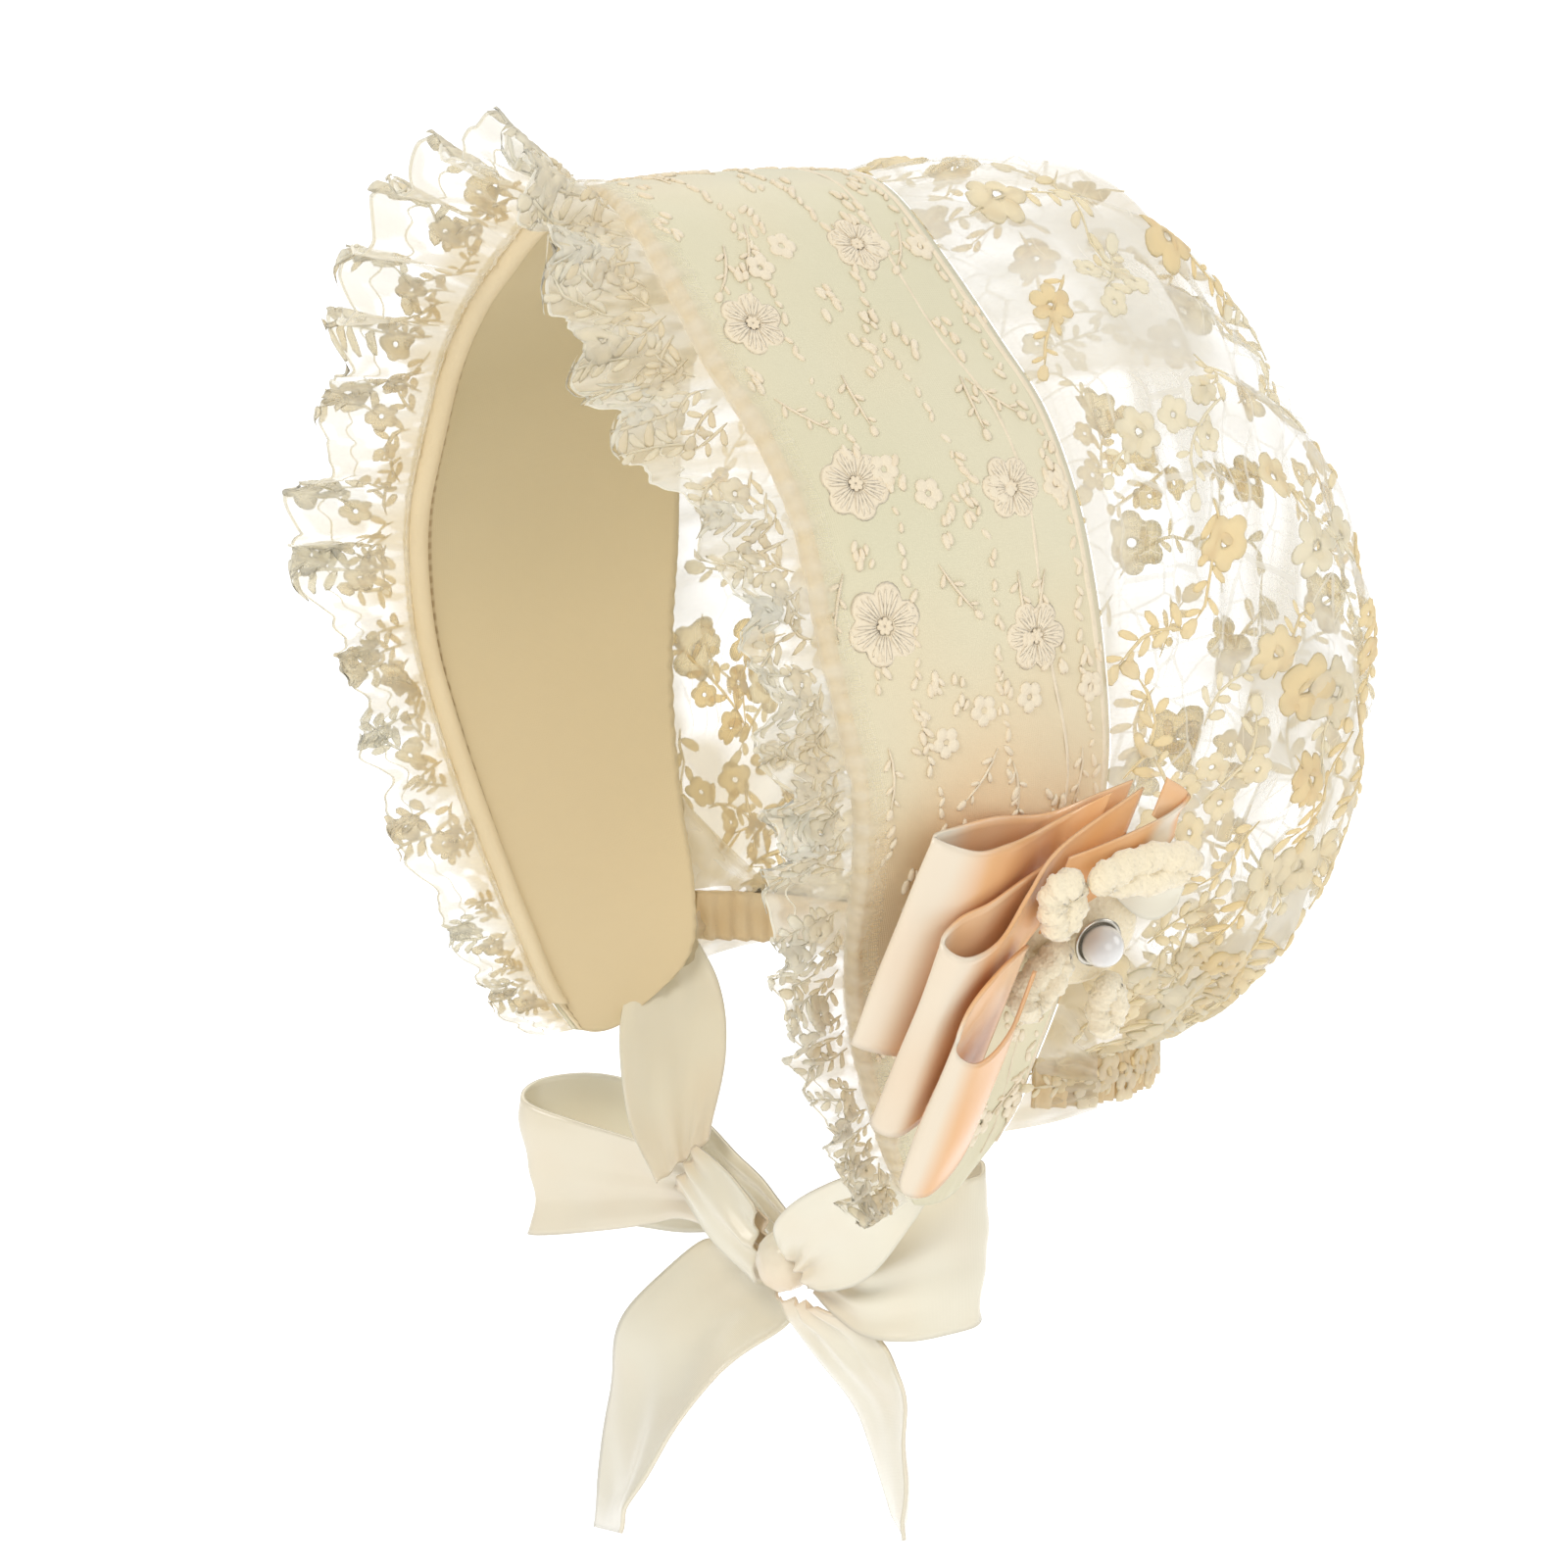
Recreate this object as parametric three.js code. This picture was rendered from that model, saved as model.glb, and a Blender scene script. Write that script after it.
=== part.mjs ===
// A lace baby bonnet tied with a satin ribbon, in millimetres with +Z up.
// The wearer faces -Y and the wearer's left is +X. The origin is the point on the lining, at the top of
// the head and halfway along the band, where the bonnet rests on a head. Everything hangs down from it.

import * as THREE from "three";

// Walls and clearances
const silk_wall = 1.0;
const lining_wall = 1.0;
const tulle_wall = 1.0;
const lace_wall = 1.0;
const ribbon_wall = 1.0;
const gap = 0.3;

// Band over the head
const temple_width = 122;
const band_height = 160;
const band_depth = 50;
const band_camber = 1.2;

// Binding along the face edge
const binding_width = 2.2;
const binding_wall = 0.8;

// Gathered ruffle round the face
const ruffle_width = 20;
const ruffle_wave = 5;
const ruffle_folds = 27;

// Back crown of gathered tulle, and the casing that draws it in at the nape
const crown_reach = 90;
const crown_drop_reach = 49;
const nape_width = 91;
const nape_depth = 45;
const nape_drop = 9;
const nape_band_height = 8;
const nape_band_wall = 1.4;
const crown_gathers = 18;
const crown_gather_height = 2.2;

// Pleated satin ornament on the wearer's left
const pleat_reach = 26;
const pleat_lift = 12;
const pleat_ribbon_width = 36;
const ornament_clearance = 2.9;

// Cloth flower with its pearl
const petal_length = 13;
const petal_width = 8.5;
const petal_thickness = 5;
const leaf_length = 13;
const leaf_width = 8;
const pearl_diameter = 8;
const pearl_cup_wall = 0.6;
const pad_diameter = 19;
const pad_thickness = 2.5;

// Ribbon ties and their bow
const tie_ribbon_width = 25;
const tie_drop = 22;
const knot_width = 9;
const knot_height = 10;
const bow_reach = 60;
const tail_drop = 50;

// Raised lace flowers on the band
const lace_flower_diameter = 13;
const lace_relief = 0.8;

const half_width = temple_width / 2;
const band_stack = silk_wall + gap + lining_wall;

// Band edges from the crown down to the cheek. Across is a share of half the temple width, down a share
// of the band's height and back a share of its depth, for the face edge and then for the rear edge.
const band_rows = [
  { across: 0.0, down: 0.0, back: 0.0, rear_across: 0.0, rear_down: 0.044, rear_back: 1.0 },
  { across: 0.148, down: 0.013, back: 0.0, rear_across: 0.148, rear_down: 0.056, rear_back: 1.0 },
  { across: 0.311, down: 0.056, back: 0.0, rear_across: 0.328, rear_down: 0.106, rear_back: 1.03 },
  { across: 0.475, down: 0.116, back: 0.01, rear_across: 0.508, rear_down: 0.159, rear_back: 1.05 },
  { across: 0.656, down: 0.181, back: 0.05, rear_across: 0.689, rear_down: 0.209, rear_back: 1.056 },
  { across: 0.795, down: 0.256, back: 0.07, rear_across: 0.83, rear_down: 0.284, rear_back: 1.056 },
  { across: 0.885, down: 0.345, back: 0.07, rear_across: 0.91, rear_down: 0.366, rear_back: 1.056 },
  { across: 0.96, down: 0.425, back: 0.08, rear_across: 0.948, rear_down: 0.446, rear_back: 1.06 },
  { across: 1.0, down: 0.503, back: 0.11, rear_across: 0.961, rear_down: 0.525, rear_back: 1.064 },
  { across: 0.98, down: 0.585, back: 0.13, rear_across: 0.954, rear_down: 0.606, rear_back: 1.04 },
  { across: 0.905, down: 0.675, back: 0.165, rear_across: 0.918, rear_down: 0.694, rear_back: 1.01 },
  { across: 0.839, down: 0.77, back: 0.236, rear_across: 0.852, rear_down: 0.778, rear_back: 0.985 },
  { across: 0.807, down: 0.86, back: 0.338, rear_across: 0.762, rear_down: 0.859, rear_back: 0.964 },
  { across: 0.79, down: 0.93, back: 0.43, rear_across: 0.718, rear_down: 0.92, rear_back: 0.91 },
  { across: 0.762, down: 0.975, back: 0.51, rear_across: 0.73, rear_down: 0.972, rear_back: 0.72 },
];

// How far the ruffle leans out from the line of the band, in degrees, from the wearer's right cheek
// (at -1) over the crown (at 0) to the left cheek (at 1)
const ruffle_leans = [
  { around: -1.0, lean: 10, width: 0.3 },
  { around: -0.87, lean: 14, width: 0.52 },
  { around: -0.75, lean: 12, width: 0.66 },
  { around: -0.65, lean: -12, width: 0.74 },
  { around: -0.55, lean: 22, width: 0.96 },
  { around: -0.43, lean: 14, width: 0.8 },
  { around: -0.3, lean: 18, width: 1.06 },
  { around: -0.15, lean: 34, width: 1.05 },
  { around: 0.0, lean: 32, width: 0.92 },
  { around: 0.1, lean: 4, width: 1.0 },
  { around: 0.2, lean: -24, width: 1.0 },
  { around: 0.3, lean: -6, width: 1.0 },
  { around: 0.42, lean: 16, width: 0.78 },
  { around: 0.54, lean: 16, width: 0.88 },
  { around: 0.65, lean: -4, width: 0.82 },
  { around: 0.75, lean: 12, width: 0.66 },
  { around: 0.85, lean: 12, width: 0.56 },
  { around: 0.95, lean: 4, width: 0.6 },
  { around: 1.0, lean: 4, width: 0.5 },
];

const white_lace = new THREE.MeshStandardMaterial({ color: 0xe9dfc4, roughness: 0.85, metalness: 0 });
const silk = new THREE.MeshStandardMaterial({ color: 0xefe4c4, roughness: 0.6, metalness: 0 });
const lining_satin = new THREE.MeshStandardMaterial({ color: 0xdcc89c, roughness: 0.5, metalness: 0 });
const tulle = new THREE.MeshStandardMaterial({ color: 0xeceae2, roughness: 0.8, metalness: 0 });
const satin = new THREE.MeshStandardMaterial({ color: 0xe6d8bc, roughness: 0.35, metalness: 0 });
const chenille = new THREE.MeshStandardMaterial({ color: 0xede2bd, roughness: 0.9, metalness: 0 });
const pearl_white = new THREE.MeshStandardMaterial({ color: 0xe4e2de, roughness: 0.15, metalness: 0 });
const silver = new THREE.MeshStandardMaterial({ color: 0xd8d4c8, roughness: 0.25, metalness: 1 });

const vector = (x, y, z) => new THREE.Vector3(x, y, z);

// Height of the band's outer face over the lining where the head bears
const crown_rise = band_stack + (band_rows[0].rear_down * band_height) / 2 - band_camber;

// A place given from the top of the face edge becomes one given from the origin.
const from_crown = (x, y, z) => vector(x, y - band_depth / 2, z + crown_rise);

function mirrored_curve(place) {
  const half = band_rows.map(place);
  const other = half
    .slice(1)
    .reverse()
    .map((p) => vector(-p.x, p.y, p.z));
  return new THREE.CatmullRomCurve3([...other, ...half], false, "catmullrom", 0.5);
}

const face_edge = mirrored_curve((row) =>
  from_crown(row.across * half_width, row.back * band_depth, -row.down * band_height),
);
const rear_edge = mirrored_curve((row) =>
  from_crown(row.rear_across * half_width, row.rear_back * band_depth, -row.rear_down * band_height),
);

// A point on the band's outer face: around goes from -1 at the wearer's right cheek to 1 at the left one,
// back from 0 at the face edge to 1 at the rear edge.
function band_middle(around, back) {
  const share = THREE.MathUtils.clamp((around + 1) / 2, 0, 1);
  const point = face_edge.getPoint(share).lerp(rear_edge.getPoint(share), back);
  const out = vector(point.x, 0, point.z + band_height * 0.5).normalize();
  return point.addScaledVector(out, band_camber * 4 * back * (1 - back));
}

function surface_normal(surface, a, b) {
  const step = 1e-3;
  const along = surface(a + step, b).sub(surface(a - step, b));
  const across = surface(a, b + step).sub(surface(a, b - step));
  return along.cross(across).normalize();
}

// Outward normal of the band, kept inside its ends
function band_normal(around, back) {
  const inside = THREE.MathUtils.clamp(around, -0.998, 0.998);
  return surface_normal(band_middle, inside, back);
}

const band_point = (around, back, out) =>
  band_middle(around, back).addScaledVector(band_normal(around, back), out);

// Unit vector along the band, away from the face
function band_backward(around) {
  return band_middle(around, 0.9).sub(band_middle(around, 0.1)).normalize();
}

// A closed body from index triangles, turned so that its faces point out
function closed_body(points, triangles) {
  let volume = 0;
  for (const [a, b, c] of triangles) {
    volume += points[a].dot(points[b].clone().cross(points[c]));
  }
  const geometry = new THREE.BufferGeometry().setFromPoints(points);
  geometry.setIndex(triangles.flatMap(([a, b, c]) => (volume > 0 ? [a, b, c] : [a, c, b])));
  geometry.computeVertexNormals();
  return geometry;
}

// A wall between two faces, each a function of (row, column)
function wall(rows, columns, outer_face, inner_face) {
  const points = [];
  for (const face of [outer_face, inner_face]) {
    for (let row = 0; row <= rows; row++) {
      for (let column = 0; column <= columns; column++) {
        points.push(face(row / rows, column / columns));
      }
    }
  }
  const at = (layer, row, column) => (layer * (rows + 1) + row) * (columns + 1) + column;
  const triangles = [];
  const quad = (a, b, c, d) => triangles.push([a, b, c], [a, c, d]);
  for (let row = 0; row < rows; row++) {
    for (let column = 0; column < columns; column++) {
      quad(at(0, row, column), at(0, row, column + 1), at(0, row + 1, column + 1), at(0, row + 1, column));
      quad(at(1, row, column), at(1, row + 1, column), at(1, row + 1, column + 1), at(1, row, column + 1));
    }
    quad(at(0, row, 0), at(0, row + 1, 0), at(1, row + 1, 0), at(1, row, 0));
    quad(at(0, row, columns), at(1, row, columns), at(1, row + 1, columns), at(0, row + 1, columns));
  }
  for (let column = 0; column < columns; column++) {
    quad(at(0, 0, column), at(1, 0, column), at(1, 0, column + 1), at(0, 0, column + 1));
    quad(at(0, rows, column), at(0, rows, column + 1), at(1, rows, column + 1), at(1, rows, column));
  }
  return closed_body(points, triangles);
}

// A rail whose closed section, a list of points, is the same all along
function rail(steps, section_at) {
  const sections = [];
  for (let step = 0; step <= steps; step++) {
    sections.push(section_at(step / steps));
  }
  const sides = sections[0].length;
  const triangles = [];
  for (let step = 0; step < steps; step++) {
    for (let side = 0; side < sides; side++) {
      const a = step * sides + side;
      const b = step * sides + ((side + 1) % sides);
      triangles.push([a, b, b + sides], [a, b + sides, a + sides]);
    }
  }
  return { points: sections.flat(), triangles, sides, last: steps * sides };
}

// Value of one column of a table at a place between its rows
function read_table(table, key, column, place) {
  const next = table.findIndex((row) => row[key] >= place);
  if (next <= 0) {
    return next === 0 ? table[0][column] : table[table.length - 1][column];
  }
  const [low, high] = [table[next - 1], table[next]];
  const share = (place - low[key]) / (high[key] - low[key]);
  const eased = share * share * (3 - 2 * share);
  return low[column] + (high[column] - low[column]) * eased;
}

const group = new THREE.Group();

function add(name, geometry, material) {
  const mesh = new THREE.Mesh(geometry, material);
  mesh.name = name;
  group.add(mesh);
  return mesh;
}

// Crown band: silk outside, satin lining inside
const band_columns = 40;
const band_steps = 4;

function band_layer(out, thickness) {
  return wall(
    band_steps,
    band_columns,
    (back, share) => band_point(2 * share - 1, back, out),
    (back, share) => band_point(2 * share - 1, back, out - thickness),
  );
}

add("band_outer", band_layer(0, silk_wall), silk);
add("band_lining", band_layer(-silk_wall - gap, lining_wall), lining_satin);

// Binding folded round the face edge of both layers, open towards the back
function face_binding() {
  const inner = -band_stack;
  const section = [
    [binding_width, gap + binding_wall],
    [-gap - binding_wall, gap + binding_wall],
    [-gap - binding_wall, inner - 2 * gap - binding_wall],
    [binding_width, inner - 2 * gap - binding_wall],
    [binding_width, inner - 2 * gap],
    [-gap, inner - 2 * gap],
    [-gap, gap],
    [binding_width, gap],
  ];
  const body = rail(band_columns - 2, (share) => {
    const around = (2 * share - 1) * (1 - 2 / band_columns);
    const place = (around + 1) / 2;
    const depth = face_edge.getPoint(place).distanceTo(rear_edge.getPoint(place));
    return section.map(([back, out]) => band_point(around, back / depth, out));
  });
  const end_quads = [
    [0, 1, 6, 7],
    [1, 2, 5, 6],
    [2, 3, 4, 5],
  ];
  for (const [a, b, c, d] of end_quads) {
    body.triangles.push([a, c, b], [a, d, c]);
    const end = body.last;
    body.triangles.push([end + a, end + b, end + c], [end + a, end + c, end + d]);
  }
  return closed_body(body.points, body.triangles);
}

add("face_binding", face_binding(), silk);

// Ruffle: a gathered strip that starts at the binding and waves more towards its scalloped edge
const ruffle_columns = ruffle_folds * 4;

function ruffle_face(share, side) {
  return (reach, column_share) => {
    const around = 2 * column_share - 1;
    const lean = THREE.MathUtils.degToRad(read_table(ruffle_leans, "around", "lean", around));
    const width = read_table(ruffle_leans, "around", "width", around) * reach;
    const forward = band_backward(around).negate();
    const out = band_normal(around, 0);
    const start = band_point(around, 0, -band_stack / 2);
    start.addScaledVector(forward, 2 * gap + binding_wall + lace_wall / 2);
    const phase = 2 * Math.PI * ruffle_folds * column_share;
    const scallop = 1 - 0.06 * (1 - Math.cos(2 * phase));
    const length = ruffle_width * width * scallop;
    const swing = ruffle_wave * width * Math.cos(phase);
    const run = forward.clone().multiplyScalar(Math.cos(lean)).addScaledVector(out, Math.sin(lean));
    const rise = out.clone().multiplyScalar(Math.cos(lean)).addScaledVector(forward, -Math.sin(lean));
    const point = start.addScaledVector(run, length).addScaledVector(rise, swing);
    return point.addScaledVector(rise, side * share);
  };
}

add(
  "face_ruffle",
  wall(3, ruffle_columns, ruffle_face(lace_wall / 2, 1), ruffle_face(lace_wall / 2, -1)),
  white_lace,
);

// Nape curve: the top edge of the casing, from the right rear edge (-90 degrees) round the back to the left
const nape_start = band_rows[12];
const nape_front = nape_start.rear_back * band_depth + gap;
const nape_top = -nape_start.rear_down * band_height;

function nape_point(angle, out, down) {
  const reach = nape_width / 2 + out;
  return from_crown(
    reach * Math.sin(angle),
    nape_front + (nape_depth + out) * Math.cos(angle),
    nape_top - nape_drop * Math.cos(angle) - down,
  );
}

const quarter_turn = Math.PI / 2;

function nape_face(out) {
  return (down, share) => nape_point((2 * share - 1) * quarter_turn, out, down * nape_band_height);
}

add(
  "nape_band",
  wall(
    2,
    32,
    nape_face(nape_band_wall / 2),
    nape_face(-nape_band_wall / 2),
  ),
  satin,
);

// Back crown: tulle gathered on the band's rear edge, full over the back of the head and drawn in
// at the nape
const crown_end = 12 / (band_rows.length - 1);
const nape_end = THREE.MathUtils.degToRad(82);

function crown_smooth(side, back) {
  const around = side * crown_end;
  const fullness = 1 - Math.abs(side) ** 2.3;
  const start = band_middle(around, 1).addScaledVector(band_backward(around), gap);
  const end = nape_point(side * nape_end, 0, -gap);
  const radial = vector(start.x, 0, start.z + band_height * 0.5).normalize();
  const leave = vector(0, 1, 0).addScaledVector(radial, 0.24 * (1 - fullness * 0.85)).normalize();
  const arrive = vector(Math.sin(side * nape_end) * 0.6, 0.88, 0.42 - 0.3 * (1 - fullness)).normalize();
  const reach = 4 + (crown_reach - 4) * fullness;
  const drop_reach = 3 + (crown_drop_reach - 3) * fullness;
  const second = start.clone().addScaledVector(leave, reach);
  const third = end.clone().addScaledVector(arrive, drop_reach);
  return new THREE.CubicBezierCurve3(start, second, third, end).getPoint(THREE.MathUtils.clamp(back, 0, 1));
}

function crown_normal(side, back) {
  const inside = THREE.MathUtils.clamp(side, -0.998, 0.998);
  const between = THREE.MathUtils.clamp(back, 0.002, 0.998);
  return surface_normal(crown_smooth, inside, between);
}

function crown_face(out) {
  return (back, share) => {
    const side = 2 * share - 1;
    const point = crown_smooth(side, back);
    const seam_rise = Math.sin(Math.min(1, back * 4) * quarter_turn);
    const nape_rise = Math.sin(Math.min(1, (1 - back) * 4) * quarter_turn);
    const fade = 0.35 + 0.65 * Math.abs(2 * back - 1);
    const fold = Math.cos(2 * Math.PI * crown_gathers * share + 0.7 * Math.sin(5 * side));
    const ends = Math.min(1, (1 - Math.abs(side)) * 8);
    const lift = crown_gather_height * seam_rise * nape_rise * fade * ends * fold;
    return point.addScaledVector(crown_normal(side, back), lift + out);
  };
}

add("back_crown", wall(9, crown_gathers * 4, crown_face(0), crown_face(-tulle_wall)), tulle);

// A ribbon along a table of rows. Each row gives its middle and the vector across it, both from a frame
// that place and turn lay in the model.
function ribbon(steps, middles, halves) {
  const middle = new THREE.CatmullRomCurve3(middles, false, "catmullrom", 0.5);
  const half = new THREE.CatmullRomCurve3(halves, false, "catmullrom", 0.5);
  const face = (out) => (lane, share) => {
    const before = middle.getPoint(Math.max(0, share - 0.01));
    const after = middle.getPoint(Math.min(1, share + 0.01));
    const across = half.getPoint(share);
    const normal = after.sub(before).cross(across).normalize();
    return middle
      .getPoint(share)
      .addScaledVector(across, 2 * lane - 1)
      .addScaledVector(normal, out);
  };
  return wall(1, steps, face(ribbon_wall / 2), face(-ribbon_wall / 2));
}

// Pleated ornament: its frame starts on the band's outer face, near the rear edge, over the left ear
const ornament_root = from_crown(0.959 * half_width, 0.794 * band_depth, -0.562 * band_height);
const ornament_down = vector(-0.172, -0.305, -0.937).normalize();
const ornament_out = vector(0.984, -0.101, -0.148).normalize();
const ornament_forward = ornament_down.clone().cross(ornament_out).normalize();

function ornament_point(forward, out, down) {
  return ornament_root
    .clone()
    .addScaledVector(ornament_forward, forward)
    .addScaledVector(ornament_out, out + ornament_clearance)
    .addScaledVector(ornament_down, down);
}

// Each pleat's upper edge: forward is a share of the pleats' reach, out a share of their lift,
// down and span shares of the ribbon's width
const pleats = {
  pleat_1: [
    { forward: -0.36, out: 0.42, down: -0.26, span: 0.3 },
    { forward: -0.14, out: 0.26, down: -0.12, span: 0.55 },
    { forward: 0.04, out: 0.06, down: 0, span: 0.85 },
    { forward: 0.45, out: 0.28, down: 0.02, span: 0.96 },
    { forward: 0.75, out: 0.5, down: 0.06, span: 0.97 },
    { forward: 1.01, out: 0.85, down: 0.08, span: 0.98 },
    { forward: 0.72, out: 1.0, down: 0.1, span: 0.96 },
    { forward: 0.44, out: 0.78, down: 0.07, span: 0.95 },
    { forward: 0.15, out: 0.42, down: 0.04, span: 0.85 },
    { forward: -0.05, out: 0.3, down: -0.05, span: 0.6 },
    { forward: -0.2, out: 0.56, down: -0.21, span: 0.34 },
  ],
  pleat_2: [
    { forward: -0.03, out: 0.5, down: 0.12, span: 0.75 },
    { forward: 0.3, out: 0.84, down: 0.24, span: 0.82 },
    { forward: 0.5, out: 1.04, down: 0.31, span: 0.83 },
    { forward: 0.72, out: 1.18, down: 0.38, span: 0.85 },
    { forward: 0.86, out: 1.4, down: 0.47, span: 0.86 },
    { forward: 0.72, out: 1.58, down: 0.5, span: 0.84 },
    { forward: 0.44, out: 1.3, down: 0.44, span: 0.74 },
    { forward: 0.25, out: 1.0, down: 0.24, span: 0.62 },
    { forward: 0.04, out: 0.72, down: 0.04, span: 0.45 },
    { forward: -0.35, out: 0.7, down: -0.27, span: 0.22 },
  ],
  pleat_3: [
    { forward: 0.12, out: 0.98, down: 0.48, span: 0.62 },
    { forward: 0.42, out: 1.44, down: 0.55, span: 0.64 },
    { forward: 0.62, out: 1.72, down: 0.72, span: 0.66 },
    { forward: 0.66, out: 1.9, down: 0.88, span: 0.66 },
    { forward: 0.46, out: 1.92, down: 0.92, span: 0.62 },
    { forward: 0.18, out: 1.5, down: 0.8, span: 0.6 },
    { forward: 0.08, out: 1.2, down: 0.56, span: 0.56 },
  ],
  pleat_4: [
    { forward: 0.02, out: 0.83, down: 0.08, span: 0.36 },
    { forward: -0.28, out: 1.0, down: -0.1, span: 0.26 },
    { forward: -0.5, out: 1.0, down: -0.22, span: 0.2 },
    { forward: -0.6, out: 0.9, down: -0.3, span: 0.18 },
    { forward: -0.43, out: 0.86, down: -0.35, span: 0.18 },
  ],
};

for (const [name, rows] of Object.entries(pleats)) {
  const middles = rows.map((row) =>
    ornament_point(
      row.forward * pleat_reach,
      row.out * pleat_lift,
      (row.down + row.span / 2) * pleat_ribbon_width,
    ),
  );
  const halves = rows.map((row) =>
    ornament_down.clone().multiplyScalar((row.span * pleat_ribbon_width) / 2),
  );
  add(name, ribbon(4 * (rows.length - 1), middles, halves), satin);
}

// Cloth flower: padded petals round a pearl. Forward, out and down place each petal's middle as shares of
// a petal's length, turn is its long way in the ornament's plane and tip lifts its outer end, in degrees.
const petals = [
  { forward: -0.76, out: 1.18, down: 0.07, turn: 161, tip: 0, length: 1.4, width: 0.9 },
  { forward: 0.08, out: 1.04, down: 0.72, turn: 70, tip: 6, length: 0.9, width: 0.9 },
  { forward: -0.6, out: 0.33, down: 1.98, turn: -75, tip: 0, length: 1.0, width: 0.9 },
  { forward: -1.66, out: 0.32, down: 2.16, turn: -110, tip: 0, length: 0.8, width: 0.75 },
];

function ornament_basis(turn, tip) {
  const angle = THREE.MathUtils.degToRad(turn);
  const lift = THREE.MathUtils.degToRad(tip);
  const flat = ornament_forward
    .clone()
    .multiplyScalar(Math.cos(angle))
    .addScaledVector(ornament_down, -Math.sin(angle));
  const along = flat.clone().multiplyScalar(Math.cos(lift)).addScaledVector(ornament_out, Math.sin(lift));
  const side = ornament_out.clone().cross(flat).normalize();
  const up = along.clone().cross(side).normalize();
  return new THREE.Matrix4().makeBasis(along, side, up);
}

function petal_body(length, width, thickness) {
  const body = new THREE.SphereGeometry(1, 12, 8);
  body.rotateX(quarter_turn);
  const places = body.attributes.position;
  for (let i = 0; i < places.count; i++) {
    const taper = 0.86 + 0.14 * places.getX(i);
    places.setXYZ(
      i,
      (places.getX(i) * length) / 2,
      (places.getY(i) * width * taper) / 2,
      (places.getZ(i) * thickness) / 2,
    );
  }
  return body;
}

petals.forEach((petal, index) => {
  const body = petal_body(petal.length * petal_length, petal.width * petal_width, petal_thickness);
  body.applyMatrix4(ornament_basis(petal.turn, petal.tip));
  const middle = ornament_point(
    petal.forward * petal_length,
    petal.out * petal_length,
    petal.down * petal_length,
  );
  body.translate(middle.x, middle.y, middle.z);
  add(`flower_petal_${index + 1}`, body, chenille);
});

// Pearl in its shallow cup, at the middle of the flower
const pearl_radius = pearl_diameter / 2;
const pearl_forward = -1.13 * petal_length;
const pearl_out = 0.5 * petal_length;
const pearl_down = 1.36 * petal_length;
const pearl_place = ornament_point(pearl_forward, pearl_out, pearl_down);

const pearl = new THREE.SphereGeometry(pearl_radius, 16, 10);
pearl.translate(pearl_place.x, pearl_place.y, pearl_place.z);
add("pearl", pearl, pearl_white);

function pearl_cup() {
  const inner = pearl_radius + gap;
  const outer = inner + pearl_cup_wall;
  const rim = THREE.MathUtils.degToRad(70);
  const profile = [];
  for (let step = 0; step <= 4; step++) {
    const angle = (rim * step) / 4;
    profile.push(new THREE.Vector2(outer * Math.sin(angle), -outer * Math.cos(angle)));
  }
  for (let step = 4; step >= 0; step--) {
    const angle = (rim * step) / 4;
    profile.push(new THREE.Vector2(inner * Math.sin(angle), -inner * Math.cos(angle)));
  }
  profile[0].x = 0;
  profile[profile.length - 1].x = 0;
  const cup = new THREE.LatheGeometry(profile, 14);
  cup.rotateX(quarter_turn);
  cup.applyMatrix4(ornament_basis(0, 0));
  cup.translate(pearl_place.x, pearl_place.y, pearl_place.z);
  return cup;
}

add("pearl_cup", pearl_cup(), silver);

// Felt pad that carries the flower, set on the band behind the pearl's cup
const pad_out = pearl_out - pearl_radius - pearl_cup_wall - 2 * gap - pad_thickness / 2;
const pad_place = ornament_point(pearl_forward, pad_out, pearl_down);
const pad = new THREE.CylinderGeometry(pad_diameter / 2, pad_diameter / 2, pad_thickness, 16);
pad.rotateX(quarter_turn);
pad.applyMatrix4(ornament_basis(0, 0));
pad.translate(pad_place.x, pad_place.y, pad_place.z);
add("flower_pad", pad, chenille);

// Satin leaf behind the first petal
const leaf_rows = [
  { along: 0.0, out: 0.0, width: 0.35 },
  { along: 0.35, out: 0.06, width: 0.9 },
  { along: 0.7, out: 0.02, width: 1.0 },
  { along: 1.0, out: -0.08, width: 0.3 },
];
const leaf_root = ornament_point(-1.25 * petal_length, 0.17 * petal_length, 0.72 * petal_length);
const leaf_along = ornament_forward.clone().negate();

add(
  "satin_leaf",
  ribbon(
    9,
    leaf_rows.map((row) =>
      leaf_root
        .clone()
        .addScaledVector(leaf_along, row.along * leaf_length)
        .addScaledVector(ornament_out, row.out * leaf_length),
    ),
    leaf_rows.map((row) => ornament_down.clone().multiplyScalar((row.width * leaf_width) / 2)),
  ),
  satin,
);

// Bow under the chin. Its knot hangs below the cheeks, a little to the wearer's left.
const knot_place = from_crown(0.05 * half_width, 0.632 * band_depth, -0.99 * band_height - tie_drop);

const knot = new THREE.SphereGeometry(1, 14, 9);
knot.scale(knot_width / 2, knot_width / 2, knot_height / 2);
knot.translate(knot_place.x, knot_place.y, knot_place.z);
add("bow_knot", knot, satin);

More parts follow.
